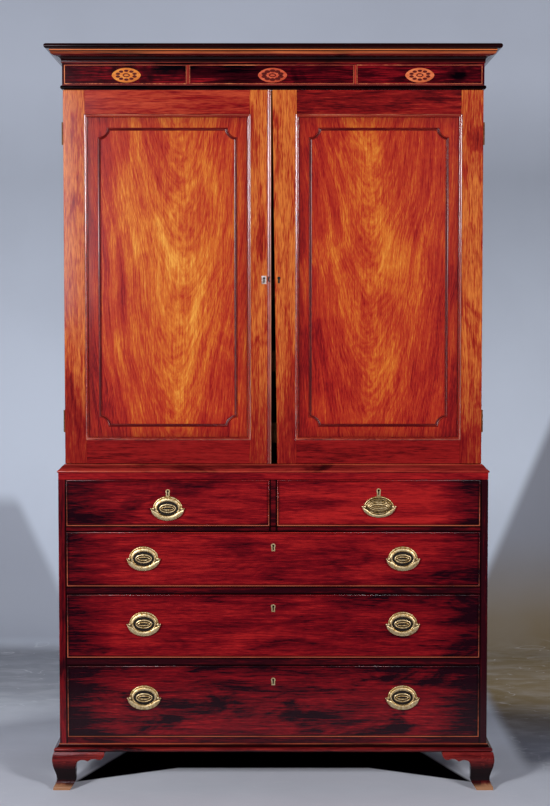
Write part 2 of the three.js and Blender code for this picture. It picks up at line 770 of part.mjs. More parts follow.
for (const [word, side] of sides) {
    const ends = side < 0
        ? [leftMeetingEdge, leftMeetingEdge, leftOpeningEdge]
        : [rightMeetingEdgeTop, rightMeetingEdgeFoot, rightOpeningEdge];
    const door = doorFrame(side, ...ends);
    let frame = door.frame;
    if (side < 0) {
        const middle = leftMeetingEdge - astragalWidth / 2;
        const bead = carriedInZ([
            [leftMeetingEdge, doorFront + astragalProud],
            ...arc(middle, doorFront, astragalWidth / 2, astragalProud, 0, -2, curveSteps + 2),
            [leftMeetingEdge - astragalWidth, doorFront + astragalProud],
        ], doorFoot, doorHead);
        frame = joined(frame, bead);
    }
    place(`door_${word}_frame`, "mahogany", frame);
    const face = doorFront + panelSink;
    const field = board(
        [door.openLeft - panelTongue, face, door.openFoot - panelTongue],
        [door.openRight + panelTongue, face + panelThickness, door.openHead + panelTongue]);
    place(`door_${word}_panel`, "figured", joined(field, panelBead(door, face)));
}

// Butt hinges: the case leaf carries the pin and the odd knuckles, the door leaf the even ones
const axisY = upperFront - doorBackGap / 2;
const knucklePitch = hingeHeight / knuckleCount;

function hingeLeaf(side, level, front, back, own, bored) {
    const axisX = side * (upperHalfWidth + knuckleOut);
    const xs = [side * (upperHalfWidth - leafWidth), side * upperHalfWidth].sort((a, b) => a - b);
    const foot = level - hingeHeight / 2;
    const parts = [board([xs[0], front, foot], [xs[1], back, foot + hingeHeight])];
    for (const i of own) {
        const low = foot + i * knucklePitch + knuckleGap / 2;
        const high = low + knucklePitch - knuckleGap;
        const tab = [side * (upperHalfWidth - leafWidth / 2), axisX].sort((a, b) => a - b);
        parts.push(board([tab[0], front, low], [tab[1], back, high]));
        const barrel = new THREE.CylinderGeometry(knuckleRadius, knuckleRadius, high - low, roundSteps);
        parts.push(barrel.rotateX(Math.PI / 2).translate(axisX, axisY, (low + high) / 2));
    }
    const pin = (radius, extra) => {
        const shape = new THREE.CylinderGeometry(radius, radius, hingeHeight + extra, roundSteps);
        return shape.rotateX(Math.PI / 2).translate(axisX, axisY, level);
    };
    const leaf = joined(...parts);
    if (bored) {
        return cut(leaf, pin(pinRadius + pinClearance, knucklePitch));
    }
    return joined(leaf, pin(pinRadius, -knuckleGap));
}

for (const [word, side] of sides) {
    for (const [height, level] of hingeLevels) {
        const odd = Array.from({ length: knuckleCount }, (_, i) => i).filter((i) => i % 2 === 0);
        const even = Array.from({ length: knuckleCount }, (_, i) => i).filter((i) => i % 2 === 1);
        place(`hinge_${word}_${height}_case_leaf`, "brass", hingeLeaf(
            side, level, upperFront, upperFront + leafThickness, odd, false));
        place(`hinge_${word}_${height}_door_leaf`, "brass", hingeLeaf(
            side, level, doorBack - leafThickness, doorBack, even, true));
    }
}

// Handles. A plate is a stack of ovals from the drawer face out; a row is inset share and height share.
const regularPlateShares = [
    [0, 0], [0, 0.28], [0.07, 0.62], [0.2, 0.66], [0.26, 0.4], [0.37, 0.92], [0.5, 0.9], [0.64, 0.34],
    [0.8, 0.3], [0.9, 0.8],
];
const oddPlateShares = [
    [0, 0], [0, 0.26], [0.1, 0.5], [0.2, 0.3], [0.32, 0.6], [0.44, 0.36], [0.58, 0.7], [0.7, 0.4],
    [0.88, 0.9],
];
const postTaperShare = 0.9;
const styles = {
    regular: {
        halfWidth: handlePlateHalfWidth, halfHeight: handlePlateHalfHeight, shares: regularPlateShares,
        drop: bailDrop, broad: bailBroad, point: 1,
    },
    odd: {
        halfWidth: oddPlateHalfWidth, halfHeight: oddPlateHalfHeight, shares: oddPlateShares,
        drop: oddBailDrop, broad: oddBailBroad, point: 1.25,
    },
};

// A point on the oval; a power above 1 draws its ends to a point
function onOval(turn, halfWidth, halfHeight, power) {
    const [c, s] = [Math.cos(turn), Math.sin(turn)];
    return [halfWidth * c, halfHeight * Math.sign(s) * Math.abs(s) ** power];
}

function handlePlate({ halfWidth, halfHeight, shares, point }, x, z) {
    const rings = shares.map(([inset, proud]) => {
        const shrink = inset * halfHeight;
        return Array.from({ length: ovalSteps }, (_, i) => {
            const turn = i / ovalSteps * Math.PI * 2;
            const [u, v] = onOval(turn, halfWidth - shrink, halfHeight - shrink, point);
            return [x + u, lowerFront - proud * plateRelief, z + v];
        });
    });
    const disc = skinned(rings, false);
    const posts = [-1, 1].map((end) => {
        const post = new THREE.CylinderGeometry(
            postRadius * postTaperShare, postRadius, postReach, roundSteps);
        post.rotateX(Math.PI / 2);
        return post.translate(x + end * postX, lowerFront - postReach / 2 - postSink, z);
    });
    const bore = new THREE.CylinderGeometry(
        bailPinRadius + bailPinClearance, bailPinRadius + bailPinClearance, postX * 4, roundSteps);
    bore.rotateZ(Math.PI / 2).translate(x, lowerFront - handleAxisOut, z);
    return cut(joined(disc, ...posts), bore);
}

// A bail: a crescent carried from eye to eye, with a pin turned in at each end
const bailNeckShare = 0.8;
const bailSwellPower = 1.5;
function handleBail({ drop, broad }, x, z) {
    const axis = lowerFront - handleAxisOut;
    const rings = [];
    for (let i = 0; i <= bailSteps; i++) {
        const turn = Math.PI * i / bailSteps;
        const swell = Math.sin(turn) ** bailSwellPower;
        const half = bailEyeRadius * (1 - swell) * bailNeckShare + broad * swell;
        const middleX = bailSpan * Math.cos(turn);
        const middleZ = -(drop - broad * swell) * Math.sin(turn);
        const slope = new THREE.Vector2(
            Math.cos(turn) * bailSpan, -Math.sin(turn) * drop).normalize();
        const thick = bailEyeRadius * (1 - swell) * bailNeckShare + bailThickness * swell;
        const across = Array.from({ length: bailSectionSteps }, (_, k) => {
            const around = k / bailSectionSteps * Math.PI * 2;
            const [u, v] = [Math.cos(around) * half, Math.sin(around) * thick];
            return [x + middleX + slope.x * u, axis + v, z + middleZ + slope.y * u];
        });
        rings.push(across);
    }
    const bow = skinned(rings, false);
    const ends = [-1, 1].flatMap((end) => {
        const eye = new THREE.SphereGeometry(bailEyeRadius, bailSectionSteps, bailSectionSteps / 2);
        eye.translate(x + end * bailSpan, axis, z);
        const pin = new THREE.CylinderGeometry(bailPinRadius, bailPinRadius, bailPinLength, roundSteps);
        pin.rotateZ(Math.PI / 2).translate(x + end * (bailSpan - bailPinLength / 2), axis, z);
        return [eye, pin];
    });
    return joined(bow, ...ends);
}

for (const { name, left, right, level, row } of drawers) {
    const pair = [["_left", -longHandleX], ["_right", longHandleX]];
    const single = [["", Math.sign(left + right) * shortHandleX]];
    const z = openingLevels[level].foot + row;
    for (const [suffix, x] of left + right === 0 ? pair : single) {
        const style = name === "short_right" ? styles.odd : styles.regular;
        place(`handle_${name}${suffix}_plate`, "brass", handlePlate(style, x, z));
        place(`handle_${name}${suffix}_bail`, "brass", handleBail(style, x, z));
    }
}

export default press;
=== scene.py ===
"""A mahogany linen press: a two-door cupboard of trays on a chest of five drawers.

Metres, +Z up. The front faces -Y and the origin is on the floor under the middle of the press.
"""

import logging
import math
from dataclasses import dataclass, field, replace
from enum import Enum
from itertools import product

import bmesh
import bpy
import numpy as np
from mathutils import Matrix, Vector
from mathutils.geometry import tessellate_polygon

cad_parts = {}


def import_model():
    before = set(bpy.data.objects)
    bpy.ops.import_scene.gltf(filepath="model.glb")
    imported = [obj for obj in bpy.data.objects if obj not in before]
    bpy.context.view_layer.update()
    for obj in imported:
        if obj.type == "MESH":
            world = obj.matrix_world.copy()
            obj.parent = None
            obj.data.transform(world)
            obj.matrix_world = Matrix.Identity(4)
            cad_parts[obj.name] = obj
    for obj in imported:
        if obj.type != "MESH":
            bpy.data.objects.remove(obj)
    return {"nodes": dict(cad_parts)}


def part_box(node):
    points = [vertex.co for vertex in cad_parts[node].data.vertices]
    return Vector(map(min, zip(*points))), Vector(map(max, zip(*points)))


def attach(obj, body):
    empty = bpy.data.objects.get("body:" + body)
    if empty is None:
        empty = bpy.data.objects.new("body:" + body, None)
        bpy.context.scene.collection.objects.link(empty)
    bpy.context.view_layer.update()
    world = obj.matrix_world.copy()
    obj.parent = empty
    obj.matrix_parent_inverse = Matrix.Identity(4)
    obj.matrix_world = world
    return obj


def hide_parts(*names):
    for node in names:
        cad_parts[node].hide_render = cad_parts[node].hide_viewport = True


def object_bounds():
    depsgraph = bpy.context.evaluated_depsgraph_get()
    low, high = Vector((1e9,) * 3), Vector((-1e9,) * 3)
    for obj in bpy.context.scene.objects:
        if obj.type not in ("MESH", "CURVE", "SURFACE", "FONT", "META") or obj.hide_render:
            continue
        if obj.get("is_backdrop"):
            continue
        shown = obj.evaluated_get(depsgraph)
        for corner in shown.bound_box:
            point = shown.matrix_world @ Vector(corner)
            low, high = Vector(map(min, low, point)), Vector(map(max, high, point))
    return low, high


log = logging.getLogger("linen_press")

MM = 0.001
TURN = 2 * math.pi
SIDES = {"left": -1, "right": 1}
LABELS = ("run", "over", "wear", "grime")
Values = float | np.ndarray


# Meshes


@dataclass
class Mesh:
    """Vertices, faces and per-vertex values of a piece that is being put together.

    Fields:
        points: arrays of vertices, one for each part.
        faces: tuples of vertex indices.
        values: for run and over, the place along and across the grain in metres; for wear, how rubbed
            each vertex is and how much painted highlight it has; for grime, how dirty it is and how
            much painted shade it has, 0 to 1.
        count: how many vertices there are.
    """

    points: list = field(default_factory=list)
    faces: list = field(default_factory=list)
    values: dict = field(default_factory=lambda: {label: [] for label in LABELS})
    count: int = 0

    def add(self, points: np.ndarray, faces: list, run: Values = 0.0, over: Values = 0.0,
            wear: Values = 0.0, grime: Values = 0.0) -> "Mesh":
        """Adds one part.

        Args:
            points: (n, 3) vertices.
            faces: index tuples or an array of quads into points.
            run, over, wear, grime: numbers, or arrays with a value for each vertex.
        Returns:
            The mesh itself.
        """
        points = np.asarray(points, float).reshape(-1, 3)
        for label, value in zip(LABELS, (run, over, wear, grime)):
            flat = np.asarray(value, float).reshape(-1)
            self.values[label].append(np.broadcast_to(flat, (len(points),)))
        self.points.append(points)
        self.faces.extend(tuple(int(i) + self.count for i in face) for face in faces)
        self.count += len(points)
        return self

    def made(self, name: str, sharp: float) -> bpy.types.Object:
        """Makes the Blender object.

        Args:
            name: the piece's name.
            sharp: edges that turn by more than this many degrees stay crisp.
        Returns:
            The new object, at the origin.
        """
        data = bpy.data.meshes.new(name)
        data.from_pydata(np.concatenate(self.points).tolist(), [], self.faces)
        data.validate()
        for label, values in self.values.items():
            layer = data.attributes.new(label, "FLOAT", "POINT")
            layer.data.foreach_set("value", np.concatenate(values).astype(np.float32))
        piece = bpy.data.objects.new(name, data)
        bpy.context.scene.collection.objects.link(piece)
        turn_outwards(data)
        data.shade_smooth()
        data.set_sharp_from_angle(angle=math.radians(sharp))
        return piece


def turn_outwards(data: bpy.types.Mesh) -> None:
    """Merges the double points of a mesh of closed parts and turns every face outwards."""
    work = bmesh.new()
    work.from_mesh(data)
    bmesh.ops.remove_doubles(work, verts=work.verts, dist=1e-7)
    bmesh.ops.recalc_face_normals(work, faces=work.faces)
    work.to_mesh(data)
    work.free()


def grid_faces(rows: int, columns: int, round_rows: bool = False,
               round_columns: bool = True) -> np.ndarray:
    """Quads between neighbouring points of a grid.

    Args:
        rows, columns: the grid's size.
        round_rows, round_columns: whether the last row or column joins the first.
    Returns:
        (n, 4) indices.
    """
    i = np.arange(rows if round_rows else rows - 1)
    j = np.arange(columns if round_columns else columns - 1)
    i, j = (a.ravel() for a in np.meshgrid(i, j, indexing="ij"))
    m = (j + 1) % columns
    low, high = i * columns, (i + 1) % rows * columns
    return np.stack([low + j, low + m, high + m, high + j], axis=1)


def skin(rows: int, columns: int) -> list:
    """Faces of a closed skin: quads between neighbouring rings, and a cap on both ends.

    Args:
        rows: number of rings.
        columns: points in each ring.
    Returns:
        Index tuples into the points, ring after ring.
    """
    last = (rows - 1) * columns
    caps = [tuple(range(columns)), tuple(range(last, last + columns))]
    return [tuple(face) for face in grid_faces(rows, columns)] + caps


def stood(line: np.ndarray, y: float) -> np.ndarray:
    """The (x, z) points of a line, put at the depth y as (x, y, z)."""
    return np.stack([line[:, 0], np.full(len(line), y), line[:, 1]], 1)


def arc(x: float, y: float, rx: float, ry: float, start: float, end: float,
        steps: int = 8) -> np.ndarray:
    """Points on an ellipse from one angle to another, both in quarter turns."""
    turn = np.linspace(start, end, steps + 1) * TURN / 4
    return np.stack([x + rx * np.cos(turn), y + ry * np.sin(turn)], axis=1)


def circle(steps: int) -> np.ndarray:
    """Angles of evenly spaced points round a full turn."""
    return np.linspace(0, TURN, steps, endpoint=False)


def powered(value: np.ndarray, power: float) -> np.ndarray:
    """Each value's size raised to a power, with its sign kept."""
    return np.sign(value) * np.abs(value) ** power


def lengths(line: np.ndarray) -> np.ndarray:
    """Distance along a line of points at each of its points."""
    steps = np.linalg.norm(np.diff(line, axis=0), axis=1)
    return np.concatenate([[0.0], np.cumsum(steps)])


def carried(mesh: Mesh, first: np.ndarray, last: np.ndarray, ends: tuple, over: np.ndarray,
            wear: Values = 0.0, grime: Values = 0.0) -> None:
    """Adds the straight prism between two copies of a closed profile.

    Args:
        mesh: where the part goes.
        first, last: (n, 3) points of the two copies.
        ends: place along the grain of each copy.
        over, wear, grime: values for each profile point.
    """
    size = len(first)
    wear, grime = (np.tile(np.broadcast_to(value, (size,)), 2) for value in (wear, grime))
    mesh.add(
        np.concatenate([first, last]), skin(2, size), np.repeat(ends, size), np.tile(over, 2),
        wear, grime)


def mitred_round(profile: np.ndarray, half: float, front: float, back: float,
                 wear: Values, grime: Values) -> Mesh:
    """Carries a closed profile round the left side, the front and the right side.

    A profile point [out, z] lies at the case face plus out, so the corners are mitred.

    Args:
        profile: (n, 2) or (n, 3) points: out, z, and out at the front where it differs.
        half: half the case's width.
        front, back: the case's front face and its back, along Y.
        wear, grime: values for each profile point.
    Returns:
        A new mesh.
    """
    mesh = Mesh()
    out, z = profile[:, 0], profile[:, 1]
    forward = profile[:, -1] if profile.shape[1] > 2 else out
    rear = np.full(len(profile), back)
    depth, width = back - front, 2 * half
    stations = [
        (np.stack([-half - out, rear, z], 1), 0.0),
        (np.stack([-half - out, front - forward, z], 1), depth),
        (np.stack([half + out, front - forward, z], 1), depth + width),
        (np.stack([half + out, rear, z], 1), 2 * depth + width),
    ]
    for (first, start), (last, end) in zip(stations, stations[1:]):
        carried(mesh, first, last, (start, end), lengths(profile[:, :2]), wear, grime)
    return mesh


def block(mesh: Mesh, low: list, high: list, upright: bool = False,
          edge: float = 0.8 * MM) -> Mesh:
    """A board between two corners with its twelve edges eased.

    Args:
        mesh: where the part goes.
        low, high: opposite corners.
        upright: whether the grain stands up and does not run along X.
        edge: how far each edge is cut back.
    Returns:
        The mesh itself.
    """
    low, high = np.asarray(low, float), np.asarray(high, float)
    middle, half = (low + high) / 2, (high - low) / 2
    spots = np.array([
        middle + np.array(sign) * (half - edge * (np.arange(3) != axis))
        for sign in product((-1, 1), repeat=3) for axis in range(3)])
    run, over = (spots[:, 2], spots[:, 0]) if upright else (spots[:, 0], spots[:, 2])
    return mesh.add(spots, eased_faces(), run, over)


def eased_faces() -> list:
    """Faces of a box whose corners have three points each, in the order that block makes them.

    Returns:
        Index tuples: for each axis two broad faces and four narrow ones, then eight corners.
    """
    corner = {signs: 3 * n for n, signs in enumerate(product((0, 1), repeat=3))}
    faces = []
    for axis in range(3):
        first, second = (a for a in range(3) if a != axis)
        at = {}
        for s, u, v in product((0, 1), repeat=3):
            signs = [0, 0, 0]
            signs[axis], signs[first], signs[second] = s, u, v
            at[s, u, v] = corner[tuple(signs)]
        for s in (0, 1):
            faces.append(tuple(at[s, u, v] + axis for u, v in ((0, 0), (1, 0), (1, 1), (0, 1))))
        for u, v in product((0, 1), repeat=2):
            low, high = at[0, u, v], at[1, u, v]
            faces.append((low + first, low + second, high + second, high + first))
    return faces + [(n, n + 1, n + 2) for n in range(0, 24, 3)]


def outline_face(outer: np.ndarray, holes: list) -> list:
    """Triangles that fill an outline with holes.

    Args:
        outer: (n, 2) points.
        holes: arrays of (m, 2) points.
    Returns:
        Index triples into the outer points followed by each hole's points.
    """
    loops = [[Vector((x, y, 0)) for x, y in ring] for ring in [outer, *holes]]
    return [tuple(face) for face in tessellate_polygon(loops)]


def keyhole_line(x: float, z: float, width: float, height: float, grow: float = 0.0) -> np.ndarray:
    """The outline of a keyhole: a round head on a slot.

    Args:
        x, z: its middle.
        width, height: its size, with a slot of six tenths of the width.
        grow: how far the whole line is moved out.
    Returns:
        (17, 2) points, anticlockwise.
    """
    radius = width / 2 + grow
    slot = width * 0.3 + grow
    centre = z + height / 2 - width / 2
    start = math.asin(min(0.95, slot / radius))
    turn = np.linspace(-TURN / 4 + start, TURN * 3 / 4 - start, 15)
    head = np.stack([x + radius * np.cos(turn), centre + radius * np.sin(turn)], 1)
    foot = z - height / 2 - grow
    return np.concatenate([head, [[x - slot, foot], [x + slot, foot]]])


def rectangle(left: float, right: float, foot: float, head: float) -> np.ndarray:
    """The corners of an upright rectangle, anticlockwise from the lower left."""
    return np.array([[left, foot], [right, foot], [right, head], [left, head]])


def framed(mesh: Mesh, ring: tuple, rows: list, wear: Values = 0.0, grime: Values = 0.0) -> Mesh:
    """Carries a closed profile round a rectangle with mitred corners, one side at a time.

    Args:
        mesh: where the parts go.
        ring: left, right, foot and head of the rectangle.
        rows: profile points [inset, y].
        wear, grime: values for each profile point.
    Returns:
        The mesh itself.
    """
    left, right, foot, head = ring
    rows = np.asarray(rows, float)
    inset, y = rows.T
    corner = [np.stack([x, y, z], 1) for x, z in (
        (left + inset, foot + inset), (right - inset, foot + inset),
        (right - inset, head - inset), (left + inset, head - inset))]
    for n in range(4):
        first, last = corner[n], corner[(n + 1) % 4]
        start = n * 1.7
        end = start + np.linalg.norm(last[0] - first[0])
        carried(mesh, first, last, (start, end), lengths(rows), wear, grime)
    return mesh


def pushed(outline: np.ndarray, distance: float) -> np.ndarray:
    """Moves a closed anticlockwise outline inwards, square to it at each corner.

    A point goes along the mean of its two edges' normals, by the distance over the cosine
    between that mean and either normal.

    Args:
        outline: (n, 2) points.
        distance: how far each edge moves.
    Returns:
        (n, 2) points.
    """
    before = outline - np.roll(outline, 1, axis=0)
    after = np.roll(outline, -1, axis=0) - outline
    before /= np.linalg.norm(before, axis=1, keepdims=True)
    after /= np.linalg.norm(after, axis=1, keepdims=True)
    normal = np.stack([-(before + after)[:, 1], (before + after)[:, 0]], 1)
    normal /= np.linalg.norm(normal, axis=1, keepdims=True)
    side = np.stack([-before[:, 1], before[:, 0]], 1)
    spread = np.sum(normal * side, axis=1, keepdims=True)
    return outline + normal * distance / spread


# Shader tools

Feed = "Wire | float | tuple"


class Wire:
    """A socket of a material that Python operators add Math nodes to."""

    def __init__(self, recipe: "Recipe", socket: bpy.types.NodeSocket) -> None:
        """Keeps the socket and the recipe that owns it."""
        self.recipe = recipe
        self.socket = socket

    def _math(self, operation: str, *values: Feed, clamp: bool = False) -> "Wire":
        """Adds one Math node."""
        return self.recipe.node(
            "ShaderNodeMath", dict(operation=operation, use_clamp=clamp), dict(enumerate(values)))

    def __add__(self, other: Feed) -> "Wire":
        """Sum."""
        return self._math("ADD", self, other)

    __radd__ = __add__

    def __sub__(self, other: Feed) -> "Wire":
        """Difference."""
        return self._math("SUBTRACT", self, other)

    def __rsub__(self, other: Feed) -> "Wire":
        """Difference the other way round."""
        return self._math("SUBTRACT", other, self)

    def __mul__(self, other: Feed) -> "Wire":
        """Product."""
        return self._math("MULTIPLY", self, other)

    __rmul__ = __mul__

    def __pow__(self, other: Feed) -> "Wire":
        """Power."""
        return self._math("POWER", self, other)

    def __abs__(self) -> "Wire":
        """Size without sign."""
        return self._math("ABSOLUTE", self)

    def between(self, low: float, high: float) -> "Wire":
        """A smooth step: 0 at low and 1 at high."""
        return self.recipe.node(
            "ShaderNodeMapRange", dict(interpolation_type="SMOOTHSTEP"),
            {"Value": self, "From Min": low, "From Max": high})

    def clamped(self) -> "Wire":
        """The value held between 0 and 1."""
        return self._math("ADD", self, 0.0, clamp=True)


class Recipe:
    """One material and the nodes in it."""

    def __init__(self, name: str) -> None:
        """Starts an empty material with a Principled shader."""
        self.material = bpy.data.materials.new(name)
        self.material.use_nodes = True
        self.tree = self.material.node_tree
        self.tree.nodes.clear()
        self.output = self.tree.nodes.new("ShaderNodeOutputMaterial")
        self.shader = self.tree.nodes.new("ShaderNodeBsdfPrincipled")
        self.tree.links.new(self.shader.outputs[0], self.output.inputs["Surface"])

    def _feed(self, socket: bpy.types.NodeSocket, value: Feed) -> None:
        """Links a wire to a socket, or sets the socket's value."""
        if isinstance(value, Wire):
            self.tree.links.new(value.socket, socket)
        elif socket.type == "RGBA" and len(value) == 3:
            socket.default_value = (*value, 1.0)
        else:
            socket.default_value = value

    def node(self, kind: str, settings: dict, inputs: dict, output: int | str = 0) -> Wire:
        """Adds any node.

        Args:
            kind: the node's type.
            settings: properties that are set first; stops holds a ramp's (place, colour) pairs.
            inputs: values or wires, by socket name or number.
            output: the name or number of the output.
        Returns:
            The output as a wire.
        """
        node = self.tree.nodes.new(kind)
        for key, value in settings.items():
            if key == "stops":
                ramp = node.color_ramp
                while len(ramp.elements) < len(value):
                    ramp.elements.new(0.5)
                for element, (place, colour) in zip(ramp.elements, value):
                    element.position = place
                    element.color = (*colour, 1.0)
            else:
                setattr(node, key, value)
        for key, value in inputs.items():
            self._feed(node.inputs[key], value)
        return Wire(self, node.outputs[output])

    def place(self) -> Wire:
        """Object coordinates."""
        return self.node("ShaderNodeTexCoord", {}, {}, "Object")

    def split(self, vector: Wire) -> list:
        """The three numbers of a vector."""
        first = self.node("ShaderNodeSeparateXYZ", {}, {0: vector})
        return [Wire(self, socket) for socket in first.socket.node.outputs]

    def joined(self, x: Feed, y: Feed, z: Feed) -> Wire:
        """A vector of three numbers."""
        return self.node("ShaderNodeCombineXYZ", {}, {0: x, 1: y, 2: z})

    def attribute(self, name: str) -> Wire:
        """A vertex value of the mesh."""
        return self.node("ShaderNodeAttribute", dict(attribute_name=name), {}, "Fac")

    def noise(self, vector: Wire, scale: float, detail: float = 3.0, warp: float = 0.0,
              rough: float = 0.55) -> Wire:
        """Fractal noise between 0 and 1."""
        return self.node(
            "ShaderNodeTexNoise", {},
            {"Vector": vector, "Scale": scale, "Detail": detail, "Roughness": rough,
             "Distortion": warp})

    def ramp(self, value: Wire, stops: list) -> Wire:
        """A colour ramp."""
        return self.node("ShaderNodeValToRGB", dict(stops=stops), {0: value})

    def mixed(self, amount: Feed, first: Feed, second: Feed) -> Wire:
        """Two colours mixed."""
        return self.node(
            "ShaderNodeMix", dict(data_type="RGBA"), {0: amount, 6: first, 7: second}, 2)

    def bump(self, height: Wire, strength: float, distance: float) -> Wire:
        """A bump's normal."""
        return self.node(
            "ShaderNodeBump", {}, {"Strength": strength, "Distance": distance, "Height": height},
            "Normal")

    def finished(self, **sockets: Feed) -> bpy.types.Material:
        """Feeds the shader's sockets, named with _ for a space, and returns the material."""
        for name, value in sockets.items():
            self._feed(self.shader.inputs[name.replace("_", " ")], value)
        return self.material


def srgb(*channels: float) -> tuple:
    """A colour given as 0 to 255 on a screen, as linear light."""
    shares = [value / 255 for value in channels]
    return tuple(
        share / 12.92 if share <= 0.04045 else ((share + 0.055) / 1.055) ** 2.4
        for share in shares)


# Repeats in a metre along and across the grain, of the stains, streaks and pores in timber
CLOUDS = (1.6, 6.0)
FLAMES = (3.0, 42.0)
LINES = (11.0, 240.0)
STAINS = (3.4, 13.0)
FLECKS = (34.0, 420.0)
PORES = (42.0, 1500.0)

# Half the width of the drawers' row, and the half widths at which a dark line of dirt and
# painted gap shadow starts to fade and has gone
FRONT_HALF = 0.588
DIRT_AND_GAP_SHADE = (0.0018, 0.0042)


class Grain(Enum):
    """How the grain of a board runs."""

    ALONG = "along X"
    UPRIGHT = "along Z"
    DEEP = "along Y"
    RUN = "along the piece's own run"


@dataclass(frozen=True)
class Timber:
    """Polished or bare wood with streaks, pores, worn edges, and hollows darkened by grime and painted
    shade.

    Fields:
        name: the material's name.
        grain: how the grain runs.
        dark, mid, light: colours of the streaks.
        rubbed: colour where the polish is worn off, and of painted highlights on some mouldings.
        seed: moves the pattern.
        depth: how strong the streaks are.
        streak: how many streaks there are across a metre.
        rough: the surface's roughness.
        coat: weight of the polish on top.
        ends: width of the dark shading at the ends of the lower case's fronts, or 0.
        foot_shade: level where the wood starts to turn dark, and the level where it is fully so.
        bias: added to the tone, which is 0 at dark and 1 at light.
        gloss: roughness of the polish.
        dark_levels: heights with a thin dark line of dirt and painted gap shadow.
        dark_columns: distances from the middle with such a line.
        patches: how strong the broad dark stains are.
        shine: how much the bare surface reflects.
        mottle: how strong the fine flecks are.
    """

    name: str
    grain: Grain = Grain.ALONG
    dark: tuple = srgb(38, 6, 13)
    mid: tuple = srgb(104, 14, 20)
    light: tuple = srgb(140, 24, 27)
    rubbed: tuple = srgb(176, 96, 66)
    seed: float = 0.0
    depth: float = 1.0
    streak: float = 1.0
    rough: float = 0.17
    coat: float = 0.2
    ends: float = 0.0
    foot_shade: tuple = ()
    bias: float = 0.0
    gloss: float = 0.1
    dark_levels: tuple = ()
    dark_columns: tuple = ()
    patches: float = 0.6
    shine: float = 0.12
    mottle: float = 0.7

    def along(self, recipe: Recipe) -> tuple:
        """Coordinates along and across the grain, and the object's own x and z."""
        x, y, z = recipe.split(recipe.place())
        if self.grain is Grain.RUN:
            run, over = recipe.attribute("run"), recipe.attribute("over")
            return recipe.joined(run, over, self.seed), x, z
        order = {Grain.ALONG: (x, z, y), Grain.UPRIGHT: (z, x, y), Grain.DEEP: (y, x, z)}
        first, second, third = order[self.grain]
        return recipe.joined(first + self.seed, second + self.seed * 0.37, third), x, z

    def noise(self, vector: Wire, repeats: tuple, detail: float, warp: float = 0.0,
              rough: float = 0.55, streak: float = 1.0) -> Wire:
        """Noise drawn out along the grain.

        Args:
            vector: the grain's coordinates.
            repeats: how often it repeats in a metre along and across the grain.
            detail, warp, rough: as in any fractal noise.
            streak: times more often across the grain.
        Returns:
            Values between 0 and 1.
        """
        along, across = repeats
        scaled = vector.recipe.node(
            "ShaderNodeVectorMath", dict(operation="MULTIPLY"),
            {0: vector, 1: (along, across * streak, across * streak)})
        return vector.recipe.noise(scaled, 1.0, detail, warp, rough)

    def material(self) -> bpy.types.Material:
        """Makes the material."""
        recipe = Recipe(self.name)
        vector, x, z = self.along(recipe)
        tone, clouds, flames, lines = self.tones(vector)
        if self.ends:
            edge = abs(x).between(FRONT_HALF - self.ends, FRONT_HALF)
            tone = tone - edge * (clouds * 0.9 + 0.05)
        if self.foot_shade:
            clear, full = self.foot_shade
            low = 1 - z.between(full, clear)
            tone = tone - low * 0.35
        pores = self.noise(vector, PORES, 1.0)
        colour = recipe.ramp(tone, [(0.0, self.dark), (0.5, self.mid), (1.0, self.light)])
        if self.foot_shade:
            colour = recipe.mixed(low * 0.5, colour, srgb(110, 9, 20))
        deep = tuple(channel * 0.25 for channel in self.dark)
        colour = recipe.mixed(pores.between(0.58, 0.7) * 0.4, colour, deep)
        # The rubbed colour where the polish is worn off, and painted highlights on some mouldings.
        wear = recipe.attribute("wear") * (clouds * 0.7 + flames * 1.1)
        colour = recipe.mixed(wear.between(0.3, 0.8), colour, self.rubbed)
        # Grime, and painted shade in hollows, gaps and undersides, from the mesh.
        grime = recipe.attribute("grime")
        # Thin dark lines of dirt and painted gap shadow at the given heights and distances from the
        # middle.
        away = [z - level for level in self.dark_levels]
        away += [abs(x) - column for column in self.dark_columns]
        for distance in away:
            grime = grime + (1 - abs(distance).between(*DIRT_AND_GAP_SHADE)) * 0.95
        colour = recipe.mixed(grime.clamped(), colour, deep)
        return recipe.finished(
            Base_Color=colour, Roughness=(flames * 0.18 + (self.rough - 0.06)).clamped(),
            Specular_IOR_Level=self.shine, Coat_Weight=self.coat, Coat_Roughness=self.gloss,
            Normal=recipe.bump(lines * 0.5 + pores * 0.5, 0.14, 0.0006))

    def tones(self, vector: Wire) -> tuple:
        """Streaks of three sizes, flecks and broad stains.

        The tone is the streaks' weighted mean, spread about one half by the depth, less the
        stains.

        Args:
            vector: the grain's coordinates.
        Returns:
            (tone, clouds, flames, lines)
        """
        clouds = self.noise(vector, CLOUDS, 2.0, 0.6, streak=self.streak)
        flames = self.noise(vector, FLAMES, 5.0, 0.9, 0.62, self.streak)
        lines = self.noise(vector, LINES, 5.0, 0.4, 0.7)
        stains = self.noise(vector, STAINS, 4.0, 1.1, 0.6, self.streak)
        flecks = self.noise(vector, FLECKS, 3.0, 0.4)
        tone = clouds * 0.26 + flames * 0.36 + lines * 0.38
        tone = (tone - 0.5) * (3.6 * self.depth) + (0.5 + self.bias)
        tone = tone - stains.between(0.5, 0.72) * self.patches + (flecks - 0.5) * self.mottle
        return tone, clouds, flames, lines


